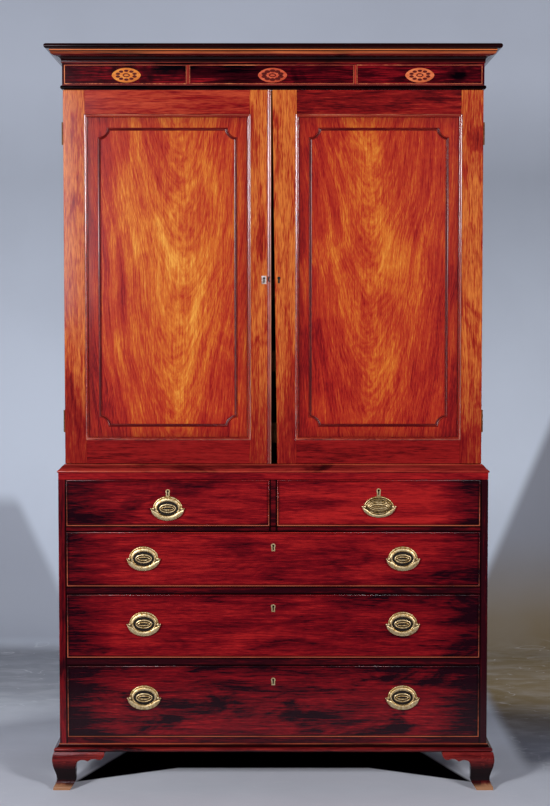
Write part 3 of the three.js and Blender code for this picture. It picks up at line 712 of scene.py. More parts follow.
@dataclass(frozen=True)
class Veneer:
    """Flame-figured veneer: nested arches that point down, gold in the middle and red at the edges.

    The figure is noise on f = z - bend * (x - middle)^2, so its lines are arches at the middle
    and nearly upright at the sides.

    Fields:
        name: the material's name.
        middle: where the arches' axis stands.
        glow: x, z of the brightest place.
        reach: the brightest place's half axes.
        seed: moves the pattern.
        warmth: how gold the panel is, added to the tone.
        bend: how steep the arches are.
    """

    name: str
    middle: float
    glow: tuple
    seed: float = 0.0
    warmth: float = 0.0
    bend: float = 15.0
    reach: tuple = (0.17, 0.46)

    def material(self) -> bpy.types.Material:
        """Makes the material."""
        recipe = Recipe(self.name)
        x, _, z = recipe.split(recipe.place())

        def noise(across: Feed, up: Feed, detail: float, warp: float = 0.0, rough: float = 0.55,
                  seed: float = self.seed) -> Wire:
            """Noise on two coordinates that are already scaled."""
            return recipe.noise(recipe.joined(across, up, seed), 1.0, detail, warp, rough)

        sway = recipe.noise(recipe.joined(self.seed, z, self.seed), 2.2, 2.0) - 0.5
        drift = noise(x * 6.0, z * 2.0, 3.0) - 0.5
        off = x - self.middle + sway * 0.10
        soft = (off * off + 0.0016) ** 0.5
        level = z - soft * soft * self.bend - soft * 1.4 + drift * 0.12 + self.seed
        rings = noise(level * 7.0, x * 5.0, 4.0, 0.3, 0.6)
        veins = noise(level * 60.0, x * 60.0, 4.0)
        fibre = noise(x * 330.0 + drift * 9.0, z * 9.0, 5.0, 0.2, 0.66)
        specks = noise(x * 1300.0, z * 46.0, 2.0)
        curl = noise(x * 420.0, z * 60.0, 2.0, 0.3)
        mottle = noise(x * 11.0, z * 5.0, 4.0, 0.8, seed=self.seed + 3.0)
        wide, high = (
            (value - spot) * (1 / reach)
            for value, spot, reach in zip((x, z), self.glow, self.reach))
        shine = 1 - (wide * wide + high * high) ** 0.5
        tone = shine * 0.3 + (rings - 0.5) * 0.8 + (veins - 0.5) * 0.7 + (0.34 + self.warmth)
        tone = tone + (mottle - 0.5) * 0.8 + (fibre - 0.5) * 0.8 + (curl - 0.5) * 0.5
        colour = recipe.ramp(tone, [
            (0.0, srgb(104, 8, 16)), (0.2, srgb(148, 26, 22)), (0.45, srgb(174, 56, 28)),
            (0.7, srgb(200, 104, 36)), (1.0, srgb(228, 156, 64)),
        ])
        colour = recipe.mixed(specks.between(0.58, 0.72) * 0.4, colour, srgb(84, 18, 12))
        # Darker along the panel's edges: painted shade from the mesh.
        colour = recipe.mixed(recipe.attribute("grime").clamped(), colour, srgb(34, 5, 7))
        return recipe.finished(
            Base_Color=colour, Roughness=(veins * 0.14 + 0.22).clamped(),
            Specular_IOR_Level=0.12, Coat_Weight=0.3, Coat_Roughness=0.1,
            Normal=recipe.bump(fibre * 0.6 + specks * 0.4, 0.12, 0.0006))


@dataclass(frozen=True)
class Brass:
    """Old lacquered brass, browner in its hollows.

    Fields:
        name: the material's name.
        bright, dull: colours of rubbed and tarnished metal.
        rough: roughness where it is rubbed.
    """

    name: str
    bright: tuple = srgb(226, 204, 160)
    dull: tuple = srgb(156, 120, 62)
    rough: float = 0.3

    def material(self) -> bpy.types.Material:
        """Makes the material."""
        recipe = Recipe(self.name)
        place = recipe.place()
        stain = recipe.noise(place, 160.0, 4.0, 0.5)
        film = recipe.noise(place, 900.0, 2.0)
        grime = recipe.attribute("grime")
        tone = (stain - 0.42) * 1.4 + (film - 0.5) * 0.5 + grime * 1.1
        colour = recipe.ramp(tone, [(0.0, self.bright), (0.4, self.dull), (1.0, srgb(14, 6, 4))])
        return recipe.finished(
            Base_Color=colour, Metallic=(1 - grime * 0.45).clamped(),
            Roughness=(self.rough + stain * 0.2 + grime * 0.2).clamped(),
            Normal=recipe.bump(stain + film * 0.4, 0.25, 0.0004))


@dataclass(frozen=True)
class Flat:
    """A plain iron or dark surface with a little mottling.

    Fields:
        name: the material's name.
        colour: its colour.
        rough: its roughness.
        mottle: how much the colour varies.
        scale: how often the mottling repeats in a metre.
    """

    name: str
    colour: tuple
    rough: float
    mottle: float
    scale: float = 3.0

    def material(self) -> bpy.types.Material:
        """Makes the material."""
        recipe = Recipe(self.name)
        cloud = recipe.noise(recipe.place(), self.scale, 4.0)
        low = tuple(channel * (1 - self.mottle) for channel in self.colour)
        high = tuple(min(1.0, channel * (1 + self.mottle)) for channel in self.colour)
        return recipe.finished(
            Base_Color=recipe.mixed(cloud.between(0.3, 0.7), low, high), Roughness=self.rough)


@dataclass(frozen=True)
class Backdrop:
    """Blue-grey studio paper and floor, with the soft shadows that the press throws on both sides.

    A shadow's edge on the wall is the line x = edge -/+ slope * z, and each pair of numbers is
    where a soft step starts and ends, in metres.

    Fields:
        name: the material's name.
        paper, near, far: colours of the wall, of the floor in front, lighter as a painted pool of
            light, and of the floor behind.
        left_dim, right_dim: the wall in the shadows.
        brown: painted shade, tinted brown, on the wall and the floor at the lower right.
        under_shadow: painted shadow on the floor under the press.
        distant: the floor near the camera.
        scratch: colour of the marks on the floor.
        smoke: colour of the clouds on the whole backdrop.
        left_slope, right_slope: how far the shadows' edges lean.
        left_edge, right_edge: the soft edges themselves.
        left_head: heights where the left shadow ends.
        right_start: depths where the right shadow begins.
        front_edge, flank_edge: edges of the painted shadow on the floor under the press.
    """

    name: str
    paper: tuple = srgb(192, 199, 213)
    near: tuple = srgb(220, 224, 234)
    far: tuple = srgb(132, 134, 142)
    left_dim: tuple = srgb(154, 158, 170)
    right_dim: tuple = srgb(128, 130, 140)
    brown: tuple = srgb(118, 102, 76)
    under_shadow: tuple = srgb(2, 0, 4)
    distant: tuple = srgb(20, 21, 25)
    scratch: tuple = srgb(236, 238, 244)
    smoke: tuple = srgb(150, 154, 166)
    left_slope: float = 0.464
    right_slope: float = 0.417
    left_edge: tuple = (-0.81, -0.75)
    right_edge: tuple = (0.73, 0.79)
    left_head: tuple = (0.54, 0.63)
    right_start: tuple = (-0.15, 0.1)
    front_edge: tuple = (-0.046, -0.034)
    flank_edge: tuple = (0.566, 0.582)

    def material(self) -> bpy.types.Material:
        """Makes the material."""
        recipe = Recipe(self.name)
        place = recipe.place()
        x, y, z = recipe.split(place)
        cloud = recipe.noise(place, 1.7, 4.0)
        scuffs = recipe.noise(recipe.joined(x * 7.0, y * 13.0, z), 1.0, 6.0, 0.4)
        scratches = recipe.noise(recipe.joined(x * 2.6 + y * 4.0, y * 7.0 - x, z), 1.0, 2.0, 0.4)
        floor = 1 - z.between(0.0, 0.05)
        # The floor in front is lighter: a painted pool of light.
        ahead = 1 - y.between(0.3, 1.1)
        colour = recipe.mixed(floor, self.paper, recipe.mixed(ahead, self.far, self.near))
        left = (1 - (x + z * self.left_slope).between(*self.left_edge)) * (
            1 - z.between(*self.left_head)) * (1 - floor)
        right = (x - z * self.right_slope).between(*self.right_edge) * y.between(*self.right_start)
        colour = recipe.mixed(left, colour, self.left_dim)
        colour = recipe.mixed(right, colour, self.right_dim)
        # Painted shade, tinted brown, at the lower right inside the right shadow.
        low = right * (1 - z.between(0.0, 0.5)) * y.between(0.1, 0.9)
        colour = recipe.mixed(low, colour, self.brown)
        marks = (1 - abs(scratches - 0.5).between(0.0, 0.007)) * 0.2 + (scuffs - 0.45) * 0.4
        colour = recipe.mixed(marks.clamped() * floor, colour, self.scratch)
        colour = recipe.mixed((cloud - 0.42).clamped() * 0.5, colour, self.smoke)
        # Painted shadow on the floor under the press and behind its front feet.
        depth = y + (abs(x) - 0.286).clamped() * 0.53
        flank = abs(x) + (y + 0.184) * 0.343
        under = depth.between(*self.front_edge) * (
            1 - flank.between(*self.flank_edge)) * (1 - y.between(0.3, 0.5))
        colour = recipe.mixed(under * floor, colour, self.under_shadow)
        colour = recipe.mixed((1 - y.between(-1.9, -0.9)) * floor, colour, self.distant)
        return recipe.finished(Base_Color=colour, Roughness=0.75, Specular_IOR_Level=0.0)


Finish = Timber | Veneer | Brass | Flat | Backdrop


class Workshop:
    """Hands out finishes, so that each is made once, and dresses pieces with them."""

    def __init__(self) -> None:
        """Starts with no materials made."""
        self.made = {}

    def dress(self, piece: bpy.types.Object, finish: Finish) -> None:
        """Gives a piece one finish, whose material is made when it is first asked for."""
        if finish not in self.made:
            self.made[finish] = finish.material()
        piece.data.materials.clear()
        piece.data.materials.append(self.made[finish])

    def fit(self, mesh: Mesh, name: str, finish: Finish, body: str, slot: str = "mahogany",
            *nodes: str, sharp: float = 32.0) -> None:
        """Makes a piece, dresses it, makes it ride on a body and stand for CAD nodes.

        Args:
            mesh: its shape.
            name: its name.
            finish: its finish.
            body: the CAD body that it moves with.
            slot: the record's material slot; not used.
            nodes: CAD nodes that it replaces.
            sharp: edges that turn by more than this many degrees stay crisp.
        """
        piece = mesh.made(name, sharp)
        self.dress(piece, finish)
        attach(piece, body)
        if nodes:
            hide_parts(*nodes)
        log.info("%s rides on %s with %d vertices", name, body, len(piece.data.vertices))


# Finishes of this press

CASE = Timber(
    "case_mahogany", Grain.UPRIGHT, seed=2.3, bias=-0.2, dark_columns=(0.5905,))
RAIL = Timber(
    "rail_mahogany", seed=5.1, bias=-0.3, coat=0.1,
    dark_levels=(0.1515, 0.3575, 0.3785, 0.563, 0.584, 0.7425, 0.757, 0.892))
MOULDED = Timber(
    "moulding_mahogany", Grain.RUN, seed=0.7, dark=srgb(30, 5, 9), mid=srgb(98, 18, 20),
    light=srgb(150, 46, 34), rubbed=srgb(198, 108, 62), coat=0.4, gloss=0.08)
DRAWER = Timber(
    "drawer_mahogany", dark=srgb(26, 4, 12), mid=srgb(106, 11, 20), light=srgb(164, 30, 30),
    rubbed=srgb(172, 88, 60), depth=0.75, streak=0.8, ends=0.16, bias=0.12, patches=0.42,
    mottle=0.9)
OAK = Timber(
    "tray_oak", dark=srgb(84, 58, 34), mid=srgb(128, 94, 60), light=srgb(156, 122, 82),
    rough=0.62, coat=0.0, streak=1.6, depth=0.5, patches=0.2)
OAK_DEEP = replace(OAK, name="drawer_oak", grain=Grain.DEEP, seed=4.0)
PINE = Timber(
    "back_pine", Grain.UPRIGHT, dark=srgb(82, 56, 34), mid=srgb(122, 88, 56),
    light=srgb(150, 114, 76), rough=0.75, coat=0.0, streak=0.6, depth=0.5, patches=0.2)
STILE = Timber(
    "stile_mahogany", Grain.UPRIGHT, dark=srgb(92, 8, 14), mid=srgb(156, 42, 26),
    light=srgb(206, 116, 50), rubbed=srgb(196, 140, 110), seed=1.1, foot_shade=(1.3, 0.9),
    bias=0.3, streak=1.1, depth=0.8, patches=0.45, coat=0.4, mottle=1.4)
DOOR_RAIL = Timber(
    "door_rail_mahogany", dark=srgb(66, 6, 12), mid=srgb(134, 22, 22), light=srgb(186, 78, 42),
    seed=8.3, streak=1.1, coat=0.4, mottle=1.1)
FOOT = Timber(
    "foot_mahogany", Grain.RUN, dark=srgb(30, 5, 9), mid=srgb(112, 26, 26),
    light=srgb(150, 48, 38), rubbed=srgb(150, 108, 78), seed=2.0)
FRIEZE = Timber(
    "frieze_veneer", Grain.RUN, dark=srgb(5, 0, 4), mid=srgb(54, 4, 12), light=srgb(150, 20, 28),
    rubbed=srgb(150, 62, 60), seed=2.7, streak=0.3, depth=1.3, patches=0.8, mottle=0.3,
    shine=0.04, coat=0.1)
BOX = Timber(
    "boxwood_line", Grain.RUN, dark=srgb(84, 20, 20), mid=srgb(156, 66, 42),
    light=srgb(214, 124, 76), rough=0.35, seed=3.0, depth=1.4, patches=0.3)
BRASS = Brass("aged_brass")
HINGE_BRASS = Brass("hinge_brass", srgb(128, 92, 60), srgb(64, 40, 26), 0.45)
SILVERED = Brass("silvered_brass", srgb(196, 186, 182), srgb(120, 98, 88), 0.4)
IRON = Flat("lock_iron", srgb(52, 44, 40), 0.5, 0.3, 90.0)
# Painted shade for the doors' keyholes and the bolt's notch.
HOLE_SHADE = Flat("keyhole_dark", srgb(8, 4, 4), 0.9, 0.1)


@dataclass
class Cornice:
    """The cornice and the frieze under it, carried round the front and both sides.

    Fields are in metres: offsets from the frieze's face, heights from the frieze's top, and for
    the inlay, places along X and half sizes.
    """

    shop: Workshop
    thickness: float = 20 * MM
    foot_fillet: float = 4.8 * MM
    foot_out: float = 2 * MM
    cove_out: float = 13.5 * MM
    cove_top: float = 17.5 * MM
    ogee_start: float = 15 * MM
    ogee_foot: float = 18.7 * MM
    ogee_out: float = 30 * MM
    ogee_top: float = 28.6 * MM
    corona_out: float = 32 * MM
    corona_foot: float = 29 * MM
    corona_top: float = 36 * MM
    nose_root: float = 36 * MM
    neck_height: float = 11 * MM
    neck_out: float = 5 * MM
    line_width: float = 2.1 * MM
    line_foot: float = 14.4 * MM
    line_head: float = 4.6 * MM
    line_end: float = 6 * MM
    breaks: tuple = ((-0.2435, -0.2362), (0.2275, 0.2348))
    divider: float = 2.4 * MM
    oval: tuple = (41 * MM, 20.5 * MM)
    oval_up: float = 2.6 * MM
    oval_places: tuple = (-0.4135, -0.0020, 0.4125)
    petal: tuple = (4.6 * MM, 2.5 * MM)
    petals: int = 10
    petal_ring: float = 0.6

    def __post_init__(self) -> None:
        """Reads the frieze's face and levels from the frame."""
        low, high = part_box("frieze")
        cornice_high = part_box("cornice_moulding")[1]
        self.half = high[0] - self.neck_out
        self.front = low[1] + self.neck_out
        self.back = high[1]
        self.foot, self.top = low[2], high[2]
        self.crown = cornice_high[2]
        self.reach = cornice_high[0] - self.half

    def cornice(self) -> None:
        """Fillet, cove, ogee, corona and round nose, as one closed profile with wear, grime and
        painted light and shade.
        """
        nose = (self.crown - self.top - self.corona_top) / 2
        cove = arc(
            self.cove_out, self.foot_fillet, self.cove_out - self.foot_out,
            self.cove_top - self.foot_fillet, 2, 1)
        ogee = arc(
            self.ogee_start, self.ogee_top, self.ogee_out - self.ogee_start,
            self.ogee_top - self.ogee_foot, -1, 0)
        bull = arc(self.reach - nose, self.corona_top + nose, nose, nose, -1, 1)
        step, face = self.foot_out, self.corona_out
        foot, top = self.corona_foot, self.corona_top
        # Each part: its points; its wear, which on the ogee's outer half and the corona's face is
        # partly a painted highlight; and its grime, which is partly painted shade in the cove and the
        # quirks.
        parts = [
            ([[-self.thickness, 0], [step, 0]], 0.0, 0.8),
            ([[step, 0.7 * MM], [step, 2.6 * MM]], 0.42, 0.2),
            ([[step, 3.2 * MM], [step, self.foot_fillet]], 0.0, 0.85),
            (cove[1:], 0.0, 0.95),
            (ogee[:5], 0.1, 0.1),
            (ogee[5:], 0.6, 0.0),
            ([[face, foot], [face, foot + 2.4 * MM]], 0.0, 0.95),
            ([[face, foot + 2.8 * MM], [face, top - 1.4 * MM]], 0.9, 0.0),
            ([[face, top - 1 * MM], [face, top]], 0.0, 0.9),
            ([[self.nose_root, top]], 0.0, 0.8),
            (bull, 0.1, 0.93),
            ([[-self.thickness, self.crown - self.top]], 0.0, 0.3),
        ]
        profile = np.concatenate([np.asarray(part, float) for part, _, _ in parts])
        wear, grime = (
            np.concatenate([np.full(len(part[0]), part[n]) for part in parts]) for n in (1, 2))
        profile[:, 1] += self.top
        mesh = mitred_round(profile, self.half, self.front, self.back, wear, grime)
        self.shop.fit(mesh, "cornice_run", MOULDED, "carcase", "mahogany", "cornice_moulding")

    def frieze(self) -> None:
        """The flat frieze with the neck bead along its foot, and a painted highlight line just over
        it.
        """
        bead = arc(0, self.foot + self.neck_height / 2, self.neck_out, self.neck_height / 2, -1, 1)
        profile = np.concatenate([
            [[-self.thickness, self.foot]], bead,
            [[0, self.foot + self.neck_height + h * MM] for h in (0.2, 0.3, 1.7, 1.8)],
            [[0, self.top], [-self.thickness, self.top]],
        ])
        # The neck bead is darkened, and a painted highlight line runs just over it.
        grime = np.concatenate([[0.95], np.full(len(bead), 0.92), [0.9, 0, 0, 0, 0, 0]])
        wear = np.concatenate([np.zeros(len(bead) + 1), [0, 0.75, 0.75, 0, 0, 0]])
        mesh = mitred_round(profile, self.half, self.front, self.back, wear, grime)
        self.shop.fit(mesh, "frieze_run", FRIEZE, "carcase", "frieze_wood", "frieze")

    def stringing(self) -> None:
        """Light inlaid lines round three long panels of the frieze, with a red block between."""
        foot, head = self.foot + self.line_foot, self.top - self.line_head
        inner = self.half - self.line_end
        edges = [-inner, *(x for pair in self.breaks for x in pair), inner]
        mesh, posts = Mesh(), Mesh()
        rows = [[across, self.front + y * MM] for across, y in (
            (0, 1), (0, -0.3), (self.line_width, -0.3), (self.line_width, 1))]
        for left, right in zip(edges[::2], edges[1::2]):
            framed(mesh, (left, right, foot, head), rows)
        self.shop.fit(mesh, "frieze_stringing", BOX, "carcase", "frieze_wood")
        for pair in self.breaks:
            x = sum(pair) / 2
            block(
                posts, [x - self.divider, self.front - 0.35 * MM, foot],
                [x + self.divider, self.front + 2 * MM, head], True, 0.1 * MM)
        red = replace(MOULDED, name="divider_red", light=srgb(168, 52, 40), bias=0.3)
        self.shop.fit(posts, "frieze_dividers", red, "carcase", "frieze_wood")

    def ovals(self) -> None:
        """Three inlaid ovals: a pale border, a ring of dark petals and a small centre oval."""
        level = (self.foot + self.top) / 2 + self.oval_up
        width, height = self.oval
        long, short = self.petal
        tones = [
            (srgb(206, 112, 40), srgb(226, 150, 66)),
            (srgb(186, 72, 44), srgb(208, 104, 70)),
            (srgb(204, 100, 56), srgb(226, 132, 84)),
        ]
        dark = replace(
            BOX, name="oval_purple", dark=srgb(40, 4, 6), mid=srgb(84, 12, 8),
            light=srgb(120, 30, 14))
        turns = TURN * (np.arange(self.petals) + 0.5) / self.petals
        for number, (x, (mid, light)) in enumerate(zip(self.oval_places, tones), 1):
            pale = replace(
                BOX, name=f"oval_satinwood_{number}", mid=mid, light=light,
                dark=tuple(0.7 * v for v in mid))
            size = 1.75 if number == 2 else 1.4
            spots = [(x + width * self.petal_ring * math.cos(turn),
                      level + height * self.petal_ring * math.sin(turn), size) for turn in turns]
            ground, petals, centre = Mesh(), Mesh(), Mesh()
            self._disc(ground, x, level, width, height, 0.0, 0.45)
            for px, pz, scale in (*spots, (x, level, 2.3)):
                self._disc(petals, px, pz, long * scale, short * scale, 0.3, 0.62)
            self._disc(centre, x, level, 7 * MM, 2.8 * MM, 0.5, 0.8)
            for mesh, word, finish in (
                (ground, "ground", pale), (petals, "petals", dark), (centre, "centre", pale)
            ):
                self.shop.fit(mesh, f"oval_{word}_{number}", finish, "carcase", "frieze_wood")

    def _disc(self, mesh: Mesh, x: float, z: float, width: float, height: float, foot: float,
              proud: float) -> None:
        """A thin oval with slightly pointed ends: z = height * sin t raised to a power.

        Args:
            mesh: where the part goes.
            x, z: its middle.
            width, height: its half axes.
            foot, proud: millimetres off the frieze of its foot and its face.
        """
        turn = circle(48)
        u, v = width * np.cos(turn), height * powered(np.sin(turn), 1.22)
        line = np.stack([x + u, z + v], 1)
        rims = [stood(line, self.front - depth * MM) for depth in (foot - 0.4, proud)]
        mesh.add(np.concatenate(rims), skin(2, len(turn)), np.tile(u * 3, 2), np.tile(v, 2))

    def build(self) -> None:
        """Builds the cornice, the frieze and its inlay."""
        self.cornice()
        self.frieze()
        self.stringing()
        self.ovals()


@dataclass
class Door:
    """One door: stiles and rails, the moulding worked round the opening, the panel and its bead.

    Fields, in metres; levels and edges come from the frame:
        word: left or right.
        opening: left and right edges of the opening.
        meeting_top, meeting_foot: the free edge at its top and its foot.
        rail, thickness: height of the rails and thickness of the frame.
        sink, sticking: depth of the panel behind the face, and width of the moulding round it.
        bead_inset, bead_width, bead_proud, corner: the panel's bead and its corners' radius.
        astragal_width, astragal_proud: the bead on the left door's free edge.
        eased: how far a board's edges are cut back.
    """

    shop: Workshop
    word: str
    opening: tuple
    meeting_top: float
    meeting_foot: float
    rail: float = 70 * MM
    thickness: float = 23 * MM
    sink: float = 6 * MM
    sticking: float = 6.5 * MM
    bead_inset: float = 35 * MM
    bead_width: float = 8.5 * MM
    bead_proud: float = 4 * MM
    corner: float = 27 * MM
    astragal_width: float = 12 * MM
    astragal_proud: float = 3.2 * MM
    eased: float = 0.8 * MM

    def __post_init__(self) -> None:
        """Reads the door's place from the frame."""
        low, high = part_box(f"door_{self.word}_frame")
        self.foot, self.head, self.back = low[2], high[2], high[1]
        self.front = self.back - self.thickness
        self.side = SIDES[self.word]
        self.body = f"door_{self.word}"
        self.node = f"door_{self.word}_frame"
        self.outer = self.side * max(abs(low[0]), abs(high[0]))
        self.bottom, self.top = self.foot + self.rail, self.head - self.rail

    def _fit(self, mesh: Mesh, word: str, finish: Finish, *nodes: str) -> None:
        """Fits one mahogany piece of this door."""
        self.shop.fit(mesh, f"{self.body}_{word}", finish, self.body, "mahogany", *nodes)

    def stiles(self) -> None:
        """The hinge stile, and the meeting stile whose edge may lean."""
        inner, near = self.opening[::self.side * -1]
        left, right = sorted([self.outer, inner])
        hinge = block(Mesh(), [left, self.front, self.foot], [right, self.back, self.head], True)
        for mesh, word, short, seed in (
            (hinge, "hinge_stile", "hinge", 1.1), (self._leaning(near), "meeting_stile", "meet", 3.7)
        ):
            finish = replace(STILE, name=f"{STILE.name}_{self.word}_{short}", seed=seed + self.side)
            self._fit(mesh, word, finish, self.node)

    def _leaning(self, near: float) -> Mesh:
        """The meeting stile: a board whose free edge goes from one place at the top to another below.

        Args:
            near: the edge beside the panel.
        Returns:
            A new mesh.
        """
        rows = []
        for z, free in ((self.foot, self.meeting_foot), (self.head, self.meeting_top)):
            ease = -self.eased if free < near else self.eased
            rows += [
                [near, self.front, z], [free - ease, self.front, z],
                [free, self.front + self.eased, z], [free, self.back, z], [near, self.back, z]]
        points = np.array(rows)
        return Mesh().add(points, skin(2, 5), points[:, 2], points[:, 0])

    def rails(self) -> None:
        """The top and bottom rails, set between the stiles. The left door's top rail is lighter."""
        left, right = self.opening
        for place, low, high in (("top", self.top, self.head), ("bottom", self.foot, self.bottom)):
            mesh = block(
                Mesh(), [left, self.front + 0.15 * MM, low], [right, self.back, high], False, 0.4 * MM)
            top = place == "top"
            # The top rails are lighter and the bottom rails darker: partly the wood's own colour,
            # partly painted shade lower down the doors.
            finish = replace(
                DOOR_RAIL, name=f"{DOOR_RAIL.name}_{self.word}_{place}",
                seed=8.3 + self.side * 2 + low, patches=0.35,
                bias=0.14 if top and self.word == "left" else -0.08,
                light=srgb(180, 66, 40) if top else srgb(140, 30, 28))
            self._fit(mesh, f"{place}_rail", finish, self.node)

    def moulding(self) -> None:
        """The small ovolo round the opening, mitred at the corners."""
        width, face = self.sticking, self.front
        curve = arc(width * 0.55, face + 4.6 * MM, width * 0.45, 5.4 * MM, -1, 0, 6)
        rows = np.concatenate([
            [[-width / 2, face + 5 * MM], [-width / 2, face - 0.4 * MM],
             [-width / 4, face - 1.2 * MM], [width * 0.2, face - 1.2 * MM]],
            curve, [[width, face + 5.6 * MM]],
        ])
        wear = np.concatenate([[0, 0.2, 0.5, 0.4], np.linspace(0.3, 0, len(curve)), [0]])
        # Darker down towards the panel: painted shade in the corner, with grime.
        grime = np.concatenate([[0.8, 0.6, 0, 0], np.linspace(0, 0.8, len(curve)), [0.95]])
        mesh = framed(Mesh(), (*self.opening, self.bottom, self.top), rows, wear, grime)
        finish = replace(
            STILE, name="sticking_mahogany", grain=Grain.RUN, foot_shade=(), bias=-0.2, coat=1.0,
            gloss=0.13)
        self._fit(mesh, "sticking", finish, self.node)

    def panel(self) -> None:
        """The veneered panel, whose field is cupped by (1 - u^2) (1 - 0.6 v^2), in its groove."""
        left, right = self.opening
        grow, cupped, thick = 4 * MM, 1.1 * MM, 9 * MM
        columns, rows = 41, 61
        u, v = np.meshgrid(np.linspace(-1, 1, columns), np.linspace(-1, 1, rows))
        x = (left + right) / 2 + u * ((right - left) / 2 + grow)
        z = (self.bottom + self.top) / 2 + v * ((self.top - self.bottom) / 2 + grow)
        y = self.front + self.sink - cupped * (1 - u ** 2) * (1 - 0.6 * v ** 2)
        front = np.stack([x, y, z], -1).reshape(-1, 3)
        rear = front.copy()
        rear[:, 1] = self.front + self.sink + thick
        size = len(front)
        flat = grid_faces(rows, columns, round_columns=False)
        ring = np.concatenate([
            np.arange(columns), np.arange(1, rows) * columns + columns - 1,
            (rows - 1) * columns + np.arange(columns - 2, -1, -1),
            np.arange(rows - 2, 0, -1) * columns,
        ])
        after = np.roll(ring, -1)
        rim = np.stack([ring, after, after + size, ring + size], 1)
        # Painted shade along the panel's edges, where it runs into the groove under the moulding.
        edge = np.maximum(np.abs(u) ** 14, np.abs(v) ** 22).reshape(-1) * 0.55
        mesh = Mesh().add(
            np.concatenate([front, rear]), np.concatenate([flat, flat + size, rim]),
            grime=np.concatenate([edge, np.full(size, 0.2)]))
        if self.word == "left":
            finish = Veneer("veneer_left", middle=-0.268, glow=(-0.285, 1.52), seed=1.3, warmth=0.12)
        else:
            finish = Veneer("veneer_right", middle=0.272, glow=(0.30, 1.55), seed=7.9)
        self.shop.fit(
            mesh, f"{self.body}_panel_field", finish, self.body, "figured_mahogany",
            f"door_{self.word}_panel")

    def bead(self) -> None:
        """The raised bead on the panel, its corners cut back by quarter rounds."""
        inset, r, w = self.bead_inset, self.corner, self.bead_width
        a, b = self.opening[0] + inset, self.opening[1] - inset
        c, d = self.bottom + inset, self.top - inset
        line = np.concatenate([
            arc(x, z, r, r, start, start - 1, 10)
            for start, (x, z) in enumerate(((a, c), (b, c), (b, d), (a, d)), 1)])
        face = self.front + self.sink
        # Share of the width, share of how proud it stands, wear, and grime with painted shade in the
        # hollows
        rows = np.array([
            (0, 0.5, 0.5, 0.7), (0.12, 0.92, 0.9, 0), (0.25, 1, 0.9, 0), (0.4, 0.85, 0.3, 0.2),
            (0.5, 0.45, 0, 0.8), (0.62, 0.4, 0, 0.6), (0.75, 0.62, 0.5, 0), (0.9, 0.55, 0.5, 0),
            (1, 0.3, 0, 0.7)])
        foot = -2 * MM / self.bead_proud
        rows = np.concatenate([[(0, foot, 0, 1)], rows, [(1, foot, 0, 1)]])
        points = [stood(pushed(line, w * across), face - self.bead_proud * proud)
                  for across, proud, _, _ in rows]
        size = len(line)
        mesh = Mesh().add(
            np.concatenate(points), grid_faces(len(rows), size, round_rows=True),
            np.tile(lengths(line), len(rows)), np.repeat(rows[:, 0] * w, size),
            np.repeat(rows[:, 2], size) * 0.2, np.repeat(rows[:, 3], size))
        finish = replace(
            STILE, name="bead_mahogany", grain=Grain.RUN, foot_shade=(), bias=-0.35, coat=0.35,
            gloss=0.3)
        self._fit(mesh, "panel_bead", finish)

    def astragal(self) -> None:
        """The half-round bead down the left door's free edge."""
        edge, width = self.meeting_top, self.astragal_width
        curve = arc(edge - width / 2, self.front, width / 2, self.astragal_proud, 0, -2, 12)
        rear = self.back - 2 * MM
        section = np.concatenate([
            [[edge, rear]], curve, [[edge - width, self.front + 3 * MM], [edge - width, rear]]])
        rub = np.concatenate([[0], np.linspace(0.7, 0.2, len(curve)), [0, 0]])
        first, last = (
            np.stack([*section.T, np.full(len(section), z)], 1) for z in (self.foot, self.head))
        mesh = Mesh()
        carried(mesh, first, last, (self.foot, self.head), lengths(section), rub)
        finish = replace(
            STILE, name="astragal_mahogany", grain=Grain.RUN, bias=-0.1, coat=1.0, gloss=0.2)
        self.shop.fit(mesh, "meeting_astragal", finish, self.body)

    def build(self) -> None:
        """Builds the whole door."""
        self.stiles()
        self.rails()
        self.moulding()
        self.panel()
        self.bead()
        if self.word == "left":
            self.astragal()


